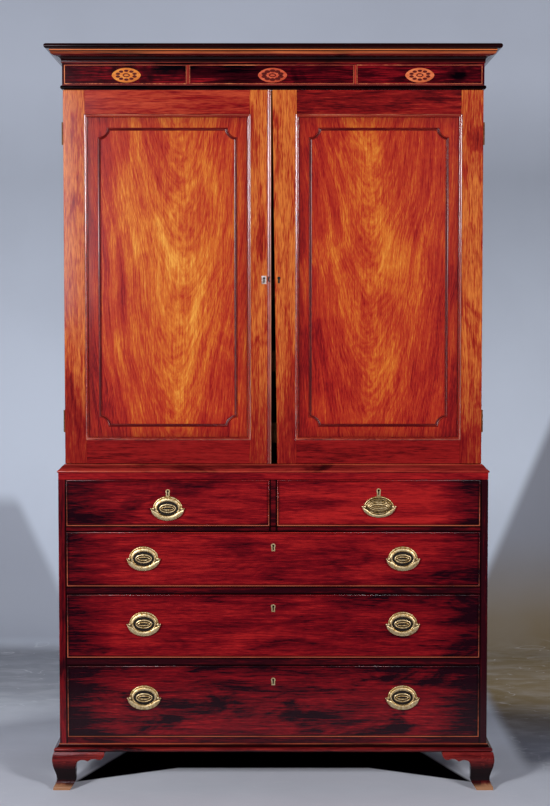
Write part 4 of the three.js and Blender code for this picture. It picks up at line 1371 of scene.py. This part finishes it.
@dataclass
class Drawer:
    """One drawer front with its cock bead, keyhole and lock.

    Fields:
        shop: where finishes come from.
        name: the drawer's name in the frame.
        key_up: how far the keyhole's middle is above the front's middle.
        bias: how light the front is.
        thickness: the front's, behind its cock bead.
        bead, proud: the cock bead's width, and how far it stands out.
        hole: width and height of the keyhole.
        hole_depth: how far it goes in.
        thread_width: width of the brass round it.
        lock: half width, drop and rise of the lock's case, and how far it stands out behind.
    """

    shop: Workshop
    name: str
    key_up: float
    bias: float
    thickness: float = 22 * MM
    bead: float = 3 * MM
    proud: float = 2.2 * MM
    hole: tuple = (6 * MM, 15 * MM)
    hole_depth: float = 14 * MM
    thread_width: float = 3.4 * MM
    lock: tuple = (32 * MM, 22 * MM, 20 * MM, 6 * MM)

    def __post_init__(self) -> None:
        """Reads the front's place from the frame."""
        low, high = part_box(f"drawer_{self.name}_front")
        self.left, self.right, self.foot, self.head = low[0], high[0], low[2], high[2]
        self.back = high[1]
        self.face = self.back - self.thickness
        self.body = f"drawer_{self.name}"
        self.key = ((self.left + self.right) / 2, (self.foot + self.head) / 2 + self.key_up)

    def front(self) -> None:
        """The slab, its raised round bead and the keyhole cut through the polished face.

        Rings run from the back's outline over the bead to the flat face, which is filled up to
        the keyhole; two more rings are the hole's wall.
        """
        rows = np.concatenate([
            [[0, self.back], [0, self.face]],
            arc(self.bead / 2, self.face - self.proud * 0.35, self.bead / 2, self.proud * 0.65,
                -2, 0, 6),
            [[self.bead + inset, self.face] for inset in (0, 1.6 * MM, 7 * MM)],
        ])
        rings = [stood(rectangle(self.left + i, self.right - i, self.foot + i, self.head - i), y)
                 for i, y in rows]
        line = keyhole_line(*self.key, *self.hole)[::-1]
        hole = [stood(line, self.face), stood(line, self.face + self.hole_depth)]
        points = np.concatenate(rings + hole)
        start, count = 4 * len(rings), len(line)
        faces = [tuple(face) for face in grid_faces(len(rings), 4)] + [(0, 1, 2, 3)]
        faces += [tuple(start - 4 + i for i in face)
                  for face in outline_face(rings[-1][:, [0, 2]], [line])]
        faces += [tuple(face) for face in grid_faces(2, count) + start]
        faces.append(tuple(range(start + count, start + 2 * count)))
        rub = np.outer([0, 0] + [0.75] * 7 + [0, 0, 0], [1, 0.9, 0.4, 0.5]).reshape(-1)
        # Darker on the back, along the outer edge and at the bead's inner foot: grime, and painted
        # shade of the gaps.
        dirt_and_shade = np.repeat([0.9, 0.9, 0.6, 0, 0, 0, 0, 0.3, 0.8, 0.9, 0.5, 0], 4)
        # The keyhole's far end is darkest: painted shade.
        mesh = Mesh().add(
            points, faces, points[:, 0], points[:, 2], np.concatenate([rub, np.zeros(2 * count)]),
            np.concatenate([dirt_and_shade, np.zeros(count), np.ones(count)]))
        finish = replace(
            DRAWER, name=f"{DRAWER.name}_{self.name}", bias=self.bias + 0.02,
            seed=1.0 + sum(ord(letter) for letter in self.name) * 0.173,
            patches=0.48 - self.bias, depth=1.0 - self.bias * 0.5)
        self.shop.fit(
            mesh, f"{self.body}_slab", finish, self.body, "mahogany", f"drawer_{self.name}_front")

    def thread(self) -> None:
        """The brass thread that lines the keyhole: two walls and a slightly rounded top."""
        inner = keyhole_line(*self.key, *self.hole)
        outer = keyhole_line(*self.key, *self.hole, self.thread_width)
        proud = 0.5 * MM
        rows = [(inner, -1), (inner, 0.7), ((inner + outer) / 2, 1), (outer, 0.7), (outer, -1)]
        points = np.concatenate([stood(line, self.face - proud * share) for line, share in rows])
        mesh = Mesh().add(points, grid_faces(len(rows), len(inner), round_rows=True))
        self.shop.fit(mesh, f"{self.body}_keyhole_thread", BRASS, self.body, "brass")

    def case(self) -> None:
        """The iron lock let into the back of the front."""
        x, z = self.key
        half, drop, rise, out = self.lock
        mesh = block(
            Mesh(), [x - half, self.back - 1 * MM, z - drop],
            [x + half, self.back + out, min(z + rise, self.head - 4 * MM)])
        self.shop.fit(mesh, f"{self.body}_lock", IRON, self.body, "brass")

    def build(self) -> None:
        """Builds the front, the thread and the lock."""
        self.front()
        self.thread()
        self.case()


@dataclass(frozen=True)
class Pattern:
    """A pattern of oval handle.

    Fields:
        half_width, half_height: the plate's half axes.
        rings: rows of [inset share, height share, grime].
        power: 1 for a plain oval, more to draw its ends to a point.
        drop: how far the bail hangs.
        inner: half axes of the bail's inner edge, as shares of its span and its drop.
        beads: how many beads the rim has.
    """

    half_width: float
    half_height: float
    rings: tuple
    power: float
    drop: float
    inner: tuple
    beads: int


OVAL = Pattern(
    42 * MM, 35.5 * MM,
    ((0.0, -0.1, 0.6), (0.0, 0.15, 0.5), (0.02, 0.36, 0.1), (0.05, 0.5, 0.0), (0.11, 0.55, 0.0),
     (0.15, 0.44, 0.45), (0.17, 0.5, 0.1), (0.24, 0.62, 0.0), (0.33, 0.68, 0.0), (0.38, 0.62, 0.2),
     (0.41, 0.4, 0.9), (0.43, 0.16, 1.0), (0.52, 0.1, 1.0), (0.56, 0.16, 1.0), (0.58, 0.5, 0.7),
     (0.61, 0.74, 0.0), (0.66, 0.84, 0.0), (0.7, 0.74, 0.3), (0.72, 0.5, 0.95), (0.76, 0.46, 0.9),
     (0.79, 0.66, 0.2), (0.84, 0.74, 0.0), (0.87, 0.6, 0.5), (0.9, 0.42, 1.0), (0.94, 0.4, 1.0)),
    1.0, 34 * MM, (0.67, 0.6), 64)
POINTED = Pattern(
    43 * MM, 29.5 * MM,
    ((0.0, -0.1, 0.6), (0.0, 0.2, 0.4), (0.03, 0.5, 0.0), (0.11, 0.58, 0.0), (0.15, 0.46, 0.3),
     (0.18, 0.2, 1.0), (0.22, 0.16, 1.0), (0.25, 0.36, 0.3), (0.3, 0.4, 0.1), (0.33, 0.24, 0.9),
     (0.37, 0.2, 1.0), (0.4, 0.4, 0.3), (0.45, 0.5, 0.0), (0.48, 0.36, 0.8), (0.51, 0.38, 0.7),
     (0.55, 0.6, 0.0), (0.6, 0.6, 0.1), (0.63, 0.44, 0.8), (0.66, 0.5, 0.6), (0.71, 0.74, 0.0),
     (0.8, 0.78, 0.1), (0.84, 0.66, 0.7), (0.88, 0.6, 0.9), (0.94, 0.74, 0.1)),
    1.2, 31 * MM, (0.72, 0.72), 48)


@dataclass
class Handle:
    """An oval plate with two posts, and the bail that swings in them.

    Fields:
        shop: where finishes come from.
        name: the handle's name in the frame.
        body, swing: the bodies that the plate and the bail move with.
        pattern: which pattern it is.
        relief: the plate's greatest height.
        post_x: how far each post is from the middle.
        axis_out: how far the bail's axis is in front of the drawer.
        span, eye, horn: half the bail's width, its eyes' radius and how deep its horns are.
        shrink_x, shrink_z: how much a ring of the plate shrinks for its inset.
    """

    shop: Workshop
    name: str
    body: str
    swing: str
    pattern: Pattern
    relief: float = 4.6 * MM
    post_x: float = 40.5 * MM
    axis_out: float = 7.6 * MM
    span: float = 46.8 * MM
    eye: float = 2.3 * MM
    horn: float = 7 * MM
    shrink_x: float = 0.86
    shrink_z: float = 1.06

    def __post_init__(self) -> None:
        """Reads the plate's centre and the drawer face from the frame."""
        low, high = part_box(f"handle_{self.name}_plate")
        self.x, self.z = (low[0] + high[0]) / 2, (low[2] + high[2]) / 2
        self.face = high[1]

    def plate(self, steps: int = 112) -> None:
        """Stacked ovals from the drawer's face to the raised centre, with beads round the rim.

        An oval is x = w cos t, z = h sin t raised to the pattern's power.

        Args:
            steps: points in each oval.
        """
        style = self.pattern
        rings = np.array(style.rings)
        turn = circle(steps)
        cosine, sine = np.cos(turn), powered(np.sin(turn), style.power)
        points, grime = [], []
        for share, height, dirt_and_shade in rings:
            shrink = share * style.half_height
            line = np.stack([
                self.x + (style.half_width - shrink * self.shrink_x) * cosine,
                self.z + (style.half_height - shrink * self.shrink_z) * sine], 1)
            bead = np.zeros(steps)
            if 0.02 < share < 0.18:
                bead = 0.5 * MM * (np.cos(turn * style.beads) - 1) * 0.5
            ring = stood(line, 0)
            ring[:, 1] = self.face - height * self.relief - bead
            points.append(ring)
            grime.append(dirt_and_shade + (np.abs(bead) > 0.3 * MM) * 0.25)
        mesh = Mesh().add(
            np.concatenate(points), skin(len(rings), steps), grime=np.concatenate(grime))
        for end in (-1, 1):
            self.post(mesh, self.x + end * self.post_x)
        self.shop.fit(
            mesh, f"handle_{self.name}_oval", BRASS, self.body, "brass",
            f"handle_{self.name}_plate", sharp=50)

    def post(self, mesh: Mesh, x: float, steps: int = 20) -> None:
        """A turned post: a neck and a round head, as a profile spun round Y.

        Args:
            mesh: where the part goes.
            x: the post's place.
            steps: points in each ring.
        """
        rows = np.array([
            [3.2, 0.5], [3.0, 3.4], [2.5, 4.2], [3.4, 5.0], [4.0, 6.4], [4.0, 8.4], [3.5, 9.6],
            [2.2, 10.3], [0.6, 10.5]]) * MM
        turn = circle(steps)
        points = [
            stood(np.stack([x + r * np.cos(turn), self.z + r * np.sin(turn)], 1), self.face - y)
            for r, y in rows]
        mesh.add(
            np.concatenate(points), skin(len(rows), steps),
            grime=np.repeat([0.9, 0.8, 0.8, 0.3, 0, 0, 0, 0, 0], steps))

    def bail(self, steps: int = 64, around: int = 20) -> None:
        """A crescent between two half ovals, whose horns pass under the posts to round eyes.

        The section at each angle is a soft square between the inner and the outer edge. Near
        the ends the inner edge goes over smoothly into the horn's.

        Args:
            steps, around: sections along the bail and points round each.
        """
        axis = self.face - self.axis_out
        drop = self.pattern.drop
        wide, deep = self.pattern.inner
        turn = np.linspace(0, math.pi, steps + 1)
        cosine, sine = np.cos(turn), np.sin(turn)
        outer = np.stack([(self.span + self.eye * 0.1) * cosine, -drop * sine], 1)
        inner = np.stack([self.span * wide * cosine, -drop * deep * sine], 1)
        horn = np.stack([(self.span - self.eye * 0.8) * cosine, -self.horn * np.sqrt(sine)], 1)
        near = np.clip((np.abs(cosine) - 0.8) / 0.16, 0, 1)[:, None]
        near = near * near * (3 - 2 * near)
        inner = inner * (1 - near) + horn * near
        inner[:, 1] = np.where(
            np.abs(inner[:, 0]) > self.post_x - 5.5 * MM, np.minimum(inner[:, 1], horn[:, 1]),
            inner[:, 1])
        middle, half = (outer + inner) / 2, (outer - inner) / 2
        ring = circle(around)
        across, proud = powered(np.cos(ring), 0.8), powered(np.sin(ring), 0.8)
        thick = self.eye * 0.85 * (1 - sine) + 2.0 * MM * sine
        ribs = 1 + 0.05 * np.cos(turn * self.pattern.beads)[:, None] * (across > 0.2)
        x = self.x + middle[:, :1] + half[:, :1] * across
        z = self.z + middle[:, 1:] + half[:, 1:] * across * ribs
        y = axis + thick[:, None] * proud
        rim = (np.abs(across) > 0.93) * 0.5 + (across < -0.8) * 0.3
        mesh = Mesh().add(
            np.stack([x, y, z], -1), skin(steps + 1, around), grime=np.tile(rim, steps + 1))
        for end in (-1, 1):
            self.eye_and_pin(mesh, end, axis)
        self.shop.fit(
            mesh, f"handle_{self.name}_bow", BRASS, self.swing, "brass",
            f"handle_{self.name}_bail", sharp=50)

    def eye_and_pin(self, mesh: Mesh, end: int, axis: float, steps: int = 16) -> None:
        """The bail's round end and the pin turned in towards the post, spun round X.

        Args:
            mesh: where the part goes.
            end: -1 at the left and 1 at the right.
            axis: the depth of the bail's axis.
            steps: points in each ring.
        """
        rows = np.array([
            [0.2, 2.6], [1.7, 2.0], [2.4, 0.6], [2.4, -0.8], [1.3, -1.9], [1.2, -4.4],
            [0.2, -4.6]]) * MM
        turn = circle(steps)
        points = [
            np.stack([np.full(steps, self.x + end * (self.span + along)),
                      axis + r * np.cos(turn), self.z + r * np.sin(turn)], 1) for r, along in rows]
        mesh.add(
            np.concatenate(points), skin(len(rows), steps),
            grime=np.repeat([0, 0, 0, 0.1, 0.5, 0.8, 0.8], steps))

    def build(self) -> None:
        """Builds the plate and the bail."""
        self.plate()
        self.bail()


@dataclass
class Foot:
    """An ogee bracket foot: two arms mitred at the case corner.

    Each arm is a surface of two parameters: the length from the case corner, and the height
    between the scalloped lower edge and the top. Its face is the ogee, its back is flat.

    Fields:
        shop: where finishes come from.
        word, place: left or right, and front or back.
        height: the foot's height.
        thick, plain_thick: thickness of an ogee arm behind the case's face, and of a plain one.
        edge: rows of [length from the corner, height of the lower edge], in millimetres.
        ogee: rows of [height, how far the face stands out from the case], in millimetres.
    """

    shop: Workshop
    word: str
    place: str
    height: float = 110 * MM
    thick: float = 16 * MM
    plain_thick: float = 20 * MM
    edge: tuple = (
        (-30, 0), (29, 0), (44.6, 23), (45.6, 30), (46.2, 64), (47.2, 73), (49.5, 80), (54, 85),
        (60, 87.6), (65, 88.4), (70, 87.8), (76, 85.8), (80, 84.4), (82, 84.8), (88, 88.6),
        (94, 90.8), (99, 91.3), (104, 90.6), (110, 88.8), (114, 88.2), (118, 89.2), (122, 91.6),
        (125.5, 95), (127.4, 99), (128, 104))
    ogee: tuple = (
        (0, 18), (6, 18.2), (9, 17.6), (13, 14.5), (18, 11), (24, 9), (32, 8.6), (40, 9.4),
        (50, 12.2), (60, 15.6), (70, 18.4), (80, 20.1), (88, 20.7), (96, 20.2), (104, 18.4),
        (110, 16.5))

    def arm(self, mitre: bool, plain: bool) -> tuple:
        """Points of one arm along +X from the corner, with out along -Y.

        Args:
            mitre: whether the arm meets another in a mitre at the corner.
            plain: whether the face is flat and not an ogee.
        Returns:
            (points, faces, run, over, wear, grime)
        """
        s = np.concatenate([
            [0.0], np.linspace(20, 29, 3), np.linspace(30, 44.6, 6),
            [45.1, 45.6, 45.9, 46.2, 46.7, 47.2], np.linspace(48, 126, 40), [127, 127.6, 128.0],
        ]) * MM
        t = np.linspace(0, 1, 34)
        foot = np.interp(s, *(np.array(self.edge) * MM).T)
        z = foot[:, None] + (self.height - foot)[:, None] * t[None, :]
        face = np.zeros_like(z) if plain else np.interp(z, *(np.array(self.ogee) * MM).T)
        back = np.full_like(z, -(self.plain_thick if plain else self.thick))
        along = np.repeat(s[:, None], len(t), axis=1)
        face_x, back_x = along.copy(), along.copy()
        if mitre:
            face_x[0], back_x[0] = -face[0], -back[0]
        outer = np.stack([face_x, -face, z], -1)
        inner = np.stack([back_x, -back, z], -1)
        points = np.concatenate([outer, inner[:, ::-1]], axis=1).reshape(-1, 3)
        height = points[:, 2]
        shade = np.interp(
            height, np.array([0, 12, 20, 28, 60, 84, 110]) * MM,
            [0.0, 0.05, 0.5, 1.0, 0.97, 0.4, 0.1])
        rub = np.interp(height, np.array([0, 12, 19, 27]) * MM, [1.0, 0.9, 0.5, 0.0])
        return points, skin(len(s), 2 * len(t)), points[:, 0], height - points[:, 1], rub, shade

    def build(self) -> None:
        """Builds both arms and puts the foot at its corner."""
        side, front = SIDES[self.word], self.place == "front"
        low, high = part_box("lower_side_" + self.word)
        corner_x = side * max(abs(low[0]), abs(high[0]))
        corner_y, ahead = (low[1], 1) if front else (high[1], -1)
        mesh = Mesh()
        for swapped in (False, True):
            points, faces, run, *values = self.arm(front, not front and not swapped)
            x, y, z = points.T
            if swapped:
                x, y = y, x
            placed = np.stack([corner_x - side * x, corner_y + ahead * y, z], 1)
            if swapped and not front:
                placed[:, 1] = np.minimum(placed[:, 1], corner_y)
            mesh.add(placed, faces, run + swapped * 0.9, *values)
        name = f"foot_{self.place}_{self.word}"
        self.shop.fit(mesh, f"{name}_bracket", FOOT, "carcase", "mahogany", name, sharp=40)


@dataclass
class Chest:
    """The boards and mouldings of the lower case that are finer than the frame's own.

    Fields, in metres:
        side_in: from the lower case's side to the upper case's.
        board: thickness of the top board.
        projection: how far the waist moulding stands out.
        base_height, base_out, base_in: the base moulding's height, and how far it goes out and in.
        frame_height: height of the base frame under the bottom board.
    """

    shop: Workshop
    side_in: float = 18.1 * MM
    board: float = 22 * MM
    projection: float = 3.2 * MM
    base_height: float = 22 * MM
    base_out: float = 16 * MM
    base_in: float = 70 * MM
    frame_height: float = 18 * MM

    def __post_init__(self) -> None:
        """Reads the faces of the lower case from the frame."""
        low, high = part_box("lower_side_right")
        self.half, self.front, self.back = high[0], low[1], high[1]

    def _fit(self, mesh: Mesh, name: str, finish: Finish, node: str) -> None:
        """Fits one mahogany piece that stands for a node of the case."""
        self.shop.fit(mesh, name, finish, "carcase", "mahogany", node)

    def waist(self) -> None:
        """The top board, and the ogee moulding round the foot of the upper case."""
        low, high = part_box("lower_top")
        foot, top = low[2], high[2]
        base = foot + self.board
        board = block(Mesh(), [-self.half, self.front, foot], [self.half, self.back, base])
        fascia = replace(
            DRAWER, name="fascia_mahogany", ends=0.0, bias=0.25, patches=0.3, seed=9.0)
        self._fit(board, "lower_top_board", fascia, "lower_top")
        w, out = self.side_in, self.projection
        curve = np.array([
            [out, 0.08], [out * 0.9, 0.14], [out * 0.2, 0.22], [-w * 0.1, 0.3], [-w * 0.24, 0.4],
            [-w * 0.36, 0.52], [-w * 0.47, 0.66], [-w * 0.6, 0.78], [-w * 0.74, 0.87],
            [-w * 0.84, 0.93], [-w * 0.86, 1.0]])
        curve[:, 1] = base + curve[:, 1] * (top - base)
        deep = -(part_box("upper_side_right")[0][1] - self.front - 0.4 * MM)
        profile = np.array([
            [-w, base - 1 * MM, deep], [out, base - 2 * MM, out],
            *([o, z, o] for o, z in curve), [-w, top, deep]])
        # The wear along the lower edge and the top is partly a painted highlight; the moulding is
        # darker under its lip and in the middle of the ogee.
        grime = np.array([0, 0.5, 0, 0.025, 0.05, 0.075, 0.1, 0.45, 0.6, 0.4, 0.2, 0.2, 0.1, 0.3])
        wear = np.array([0, 0.3, 0.5, 0.45, 0.2, 0.1, 0.1, 0, 0, 0, 0.2, 0.5, 0.5, 0])
        mesh = mitred_round(profile, self.half, self.front, self.back, wear, grime)
        finish = replace(MOULDED, name="waist_mahogany", bias=0.35, light=srgb(168, 46, 40))
        self._fit(mesh, "waist_moulding", finish, "lower_top")

    def base(self) -> None:
        """The bottom board, the base frame and its moulded edge."""
        low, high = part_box("lower_bottom")
        foot, inner = low[2], self.half - 22 * MM
        board = block(
            Mesh(), [-inner, self.front, foot + self.frame_height],
            [inner, self.back - 12 * MM, high[2]])
        self._fit(board, "lower_bottom_board", RAIL, "lower_bottom")
        h, p = self.base_height, self.base_out
        torus = arc(p * 0.62, foot + h * 0.28, p * 0.38, h * 0.25, -1, 1)
        cove = np.array([
            [p * 0.55, h * 0.56], [p * 0.46, h * 0.6], [p * 0.32, h * 0.7], [p * 0.2, h * 0.84],
            [p * 0.16, h * 0.92], [p * 0.16, h], [0.0, h], [0.0, self.frame_height]])
        cove[:, 1] += foot
        profile = np.concatenate([
            [[-self.base_in, foot], [p * 0.85, foot], [p * 0.85, foot + h * 0.03]], torus, cove,
            [[-self.base_in, foot + self.frame_height]]])
        wear, grime = np.zeros((2, len(profile)))
        wear[3:12], wear[16:19] = 0.25, 0.55
        grime[1:3], grime[12:16] = 0.8, 0.9
        mesh = mitred_round(profile, self.half, self.front, self.back, wear, grime)
        self._fit(mesh, "base_moulding", MOULDED, "lower_bottom")

    def build(self) -> None:
        """Builds the waist and the base."""
        self.waist()
        self.base()


@dataclass
class Locks:
    """The keyholes at the meeting of the doors: a worn plate on the left, a bare hole on the right;
    each hole is a dark patch of painted shade.

    Fields, in metres:
        level: height of both keyholes.
        left, right: their places along X.
        hole, right_hole: their widths and heights.
        half: half the plate's width and height.
        mark: place of the notch that the bolt has worn, a patch of painted shade, and how far it is
            above the keyholes.
        door: thickness of the doors.
    """

    shop: Workshop
    level: float = 1.4575
    left: float = -0.0262
    right: float = 0.0160
    hole: tuple = (6.5 * MM, 16 * MM)
    right_hole: tuple = (9 * MM, 19 * MM)
    half: tuple = (7 * MM, 11.5 * MM)
    mark: tuple = (-0.0105, 2 * MM)
    door: float = 23 * MM

    def build(self) -> None:
        """Builds the plate, and dark patches of painted shade for both keyholes and for the notch that
        the bolt has worn in the bead.
        """
        self.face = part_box("door_left_frame")[1][1] - self.door
        wide, high = self.half
        ring = rectangle(
            self.left - wide, self.left + wide, self.level - high, self.level + high)
        line = keyhole_line(self.left, self.level, *self.hole)
        self._plate(ring, line[::-1])
        self._dark("door_left_keyhole", "door_left", line, 0.15 * MM)
        line = keyhole_line(self.right, self.level, *self.right_hole)
        self._dark("door_right_keyhole", "door_right", line, 0.15 * MM)
        turn = np.linspace(0.2 * TURN, 0.82 * TURN, 14)
        outer, inner = (
            np.stack([wide * np.cos(turn), high * np.sin(turn)], 1) * MM
            for wide, high in ((5.4, 7.6), (1.8, 3.4)))
        x, up = self.mark
        line = np.concatenate([outer, inner[::-1]]) + [x, self.level + up]
        self._dark("door_left_bolt_mark", "door_left", line, 3.6 * MM)

    def _dark(self, name: str, body: str, line: np.ndarray, proud: float) -> None:
        """A dark patch of painted shade, hardly proud of the face, that stands for the depth of a
        keyhole and of the bolt's notch.

        Args:
            name, body: the piece's name and the body that it moves with.
            line: its outline.
            proud: how far it stands out.
        """
        count = len(line)
        points = np.concatenate([stood(line, self.face - proud), stood(line, self.face + 2 * MM)])
        flat = np.array(outline_face(line, []))
        faces = [*flat, *(flat + count), *grid_faces(2, count)]
        self.shop.fit(Mesh().add(points, faces), name, HOLE_SHADE, body, "brass")

    def _plate(self, ring: np.ndarray, hole: np.ndarray) -> None:
        """The plate: front and back faces, an outer wall and an inner wall.

        Args:
            ring: its outline.
            hole: the keyhole's outline, the other way round.
        """
        line = np.concatenate([ring, hole])
        size, edge = len(line), len(ring)
        points = np.concatenate([stood(line, self.face + out * MM) for out in (-0.8, 0.3)])
        flat = np.array(outline_face(ring, [hole]))
        walls = []
        for start, count in ((0, edge), (edge, len(hole))):
            a = start + np.arange(count)
            b = start + (np.arange(count) + 1) % count
            walls += [*np.stack([a, b, b + size, a + size], 1)]
        mesh = Mesh().add(points, [*flat, *(flat + size), *walls])
        self.shop.fit(mesh, "door_left_keyplate", SILVERED, "door_left", "brass")


@dataclass
class Studio:
    """The camera, the lights, the floor and the wall behind.

    Fields:
        shop: where the floor's finish comes from.
        focal_px, frame_height: the lens and the picture's height, in pixels.
        sensor: the sensor's height, in millimetres.
        pitch: how far the camera looks down.
        spot: where it stands.
        wall_y, wall_bend, wall_top, half_width: the wall's depth, the radius that joins it to the
            floor, its height, and half the width of both.
        floor_start: the floor's near edge.
        lamps: name, place, aim, size, power and tint of each light.
    """

    shop: Workshop
    focal_px: float = 1766.0
    frame_height: float = 806.0
    sensor: float = 36.0
    pitch: float = math.radians(3.3)
    spot: tuple = (0.0050, -5.2640, 1.3974)
    wall_y: float = 1.95
    wall_bend: float = 0.3
    wall_top: float = 7.0
    half_width: float = 9.0
    floor_start: float = -6.5
    lamps: tuple = (
        ("left_key", (-2.4, -4.5, 2.15), (0, 0, 1.1), (0.55, 0.8), 158, (0.98, 0.98, 1.0)),
        ("right_key", (2.5, -4.4, 2.15), (0, 0, 1.1), (0.55, 0.8), 104, (0.98, 0.97, 1.0)),
        ("left_strip", (-1.33, -5.35, 1.95), (-0.5, 0, 1.5), (0.3, 1.3), 14, (0.86, 0.88, 1.0)),
        ("left_tall", (-2.9, -3.7, 1.45), (0, 0, 1.45), (0.12, 2.3), 22, (0.9, 0.9, 1.0)),
        ("right_tall", (2.9, -3.7, 1.45), (0, 0, 1.45), (0.12, 2.3), 19, (0.9, 0.9, 1.0)),
        ("left_wash", (-0.8, 0.6, 0.85), (-1.5, 1.95, 0.7), (0.4, 0.4), 9, (0.95, 0.98, 1.0)),
        ("right_wash", (0.85, 0.7, 0.85), (1.4, 1.95, 0.7), (0.3, 0.3), 9, (0.95, 0.98, 1.0)))

    def camera(self) -> None:
        """A long lens a little above the waist, looking slightly down."""
        data = bpy.data.cameras.new("view")
        data.sensor_fit = "VERTICAL"
        data.sensor_height = self.sensor
        data.lens = self.focal_px / self.frame_height * self.sensor
        camera = bpy.data.objects.new("view", data)
        camera.location = self.spot
        camera.rotation_euler = (math.pi / 2 - self.pitch, 0, 0)
        bpy.context.scene.collection.objects.link(camera)
        bpy.context.scene.camera = camera

    def lamp(self, name: str, place: tuple, aim: tuple, size: tuple, power: float,
             tint: tuple) -> None:
        """A rectangular soft light.

        Args:
            name: its name.
            place, aim: where it is and the point that it shines at.
            size: its width and height.
            power: in watts.
            tint: its colour.
        """
        data = bpy.data.lights.new(name, "AREA")
        data.shape = "RECTANGLE"
        data.size, data.size_y = size
        data.energy = power
        data.color = tint
        lamp = bpy.data.objects.new(name, data)
        lamp.location = place
        lamp.visible_camera = False
        lamp.rotation_euler = (Vector(aim) - Vector(place)).to_track_quat("-Z", "Y").to_euler()
        bpy.context.scene.collection.objects.link(lamp)

    def room(self) -> None:
        """A floor that curves up into a wall, as one swept sheet."""
        bend = self.wall_bend
        line = np.concatenate([
            [[self.floor_start, 0.0]], arc(self.wall_y - bend, bend, bend, bend, -1, 0, 20),
            [[self.wall_y, self.wall_top]],
        ])
        points = np.concatenate([
            np.stack([np.full(len(line), x), *line.T], 1)
            for x in (-self.half_width, self.half_width)])
        data = bpy.data.meshes.new("studio_sweep")
        faces = grid_faces(2, len(line), round_columns=False)
        data.from_pydata(points.tolist(), [], faces.tolist())
        data.shade_smooth()
        sweep = bpy.data.objects.new("studio_sweep", data)
        bpy.context.scene.collection.objects.link(sweep)
        self.shop.dress(sweep, Backdrop("studio_grey"))
        sweep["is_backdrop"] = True

    def world(self) -> None:
        """A dim even sky."""
        world = bpy.data.worlds.new("studio_air")
        bpy.context.scene.world = world
        world.use_nodes = True
        back = world.node_tree.nodes["Background"]
        back.inputs["Color"].default_value = (0.62, 0.66, 0.74, 1)
        back.inputs["Strength"].default_value = 0.03

    def build(self) -> None:
        """Sets up everything around the press."""
        self.camera()
        self.room()
        self.world()
        for row in self.lamps:
            self.lamp(*row)
        bpy.context.scene.view_settings.view_transform = "Standard"


def frame_finish(name: str) -> Finish:
    """The finish of a CAD node that stays in view.

    Args:
        name: the node's name.
    Returns:
        The finish.
    """
    if name.startswith(("upper_side", "lower_side")):
        bias = -0.6 if name == "lower_side_right" else CASE.bias
        return replace(CASE, name=f"case_{name}", seed=2.3 + len(name) * 0.71, bias=bias)
    if name.startswith("drawer_divider"):
        low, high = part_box(name)
        tall = high[2] - low[2] > 0.05
        return replace(
            RAIL, name=f"rail_{name[-1]}", seed=float(name[-1]) * 3.3,
            dark_columns=(0.0095,) if tall else (), bias=-0.55 if low[2] < 0.6 else -0.2)
    if name.endswith("_box"):
        return OAK_DEEP
    if name.startswith("linen_tray"):
        return replace(OAK, name=f"oak_{name}", seed=float(name[-1]))
    if name.startswith("hinge"):
        return HINGE_BRASS
    if "back_boards" in name:
        return PINE
    if name.startswith("upper_"):
        return replace(PINE, name="board_pine", grain=Grain.ALONG)
    return MOULDED


def main(nodes: dict) -> None:
    """Builds the press around the frame, piece by piece, and then the studio.

    Args:
        nodes: the CAD nodes by name.
    """
    logging.basicConfig(level=logging.INFO, format="%(message)s")
    shop = Workshop()
    for name, node in nodes.items():
        shop.dress(node, frame_finish(name))
    Cornice(shop).build()
    Chest(shop).build()
    Door(shop, "left", (-0.531, -0.067), -0.0055, -0.0055).build()
    Door(shop, "right", (0.066, 0.531), -0.0025, 0.0115).build()
    Locks(shop).build()
    drawers = (
        ("long_3", 0.058, -0.14), ("long_2", 0.052, 0.08), ("long_1", 0.034, 0.12),
        ("short_left", 0.0285, 0.06), ("short_right", 0.0310, 0.14),
    )
    for name, key_up, bias in drawers:
        Drawer(shop, name, key_up, bias).build()
    for name, _, _ in drawers:
        pattern = POINTED if name == "short_right" else OVAL
        for end in ("_left", "_right") if name.startswith("long") else ("",):
            Handle(shop, name + end, f"drawer_{name}", f"bail_{name}{end}", pattern).build()
    for place, word in product(("front", "back"), SIDES):
        Foot(shop, word, place).build()
    Studio(shop).build()


if __name__ == "__main__":
    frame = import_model()
    cad_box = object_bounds()
    main(frame["nodes"])
    plain = [[[float(v) for v in corner] for corner in box] for box in (cad_box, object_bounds())]
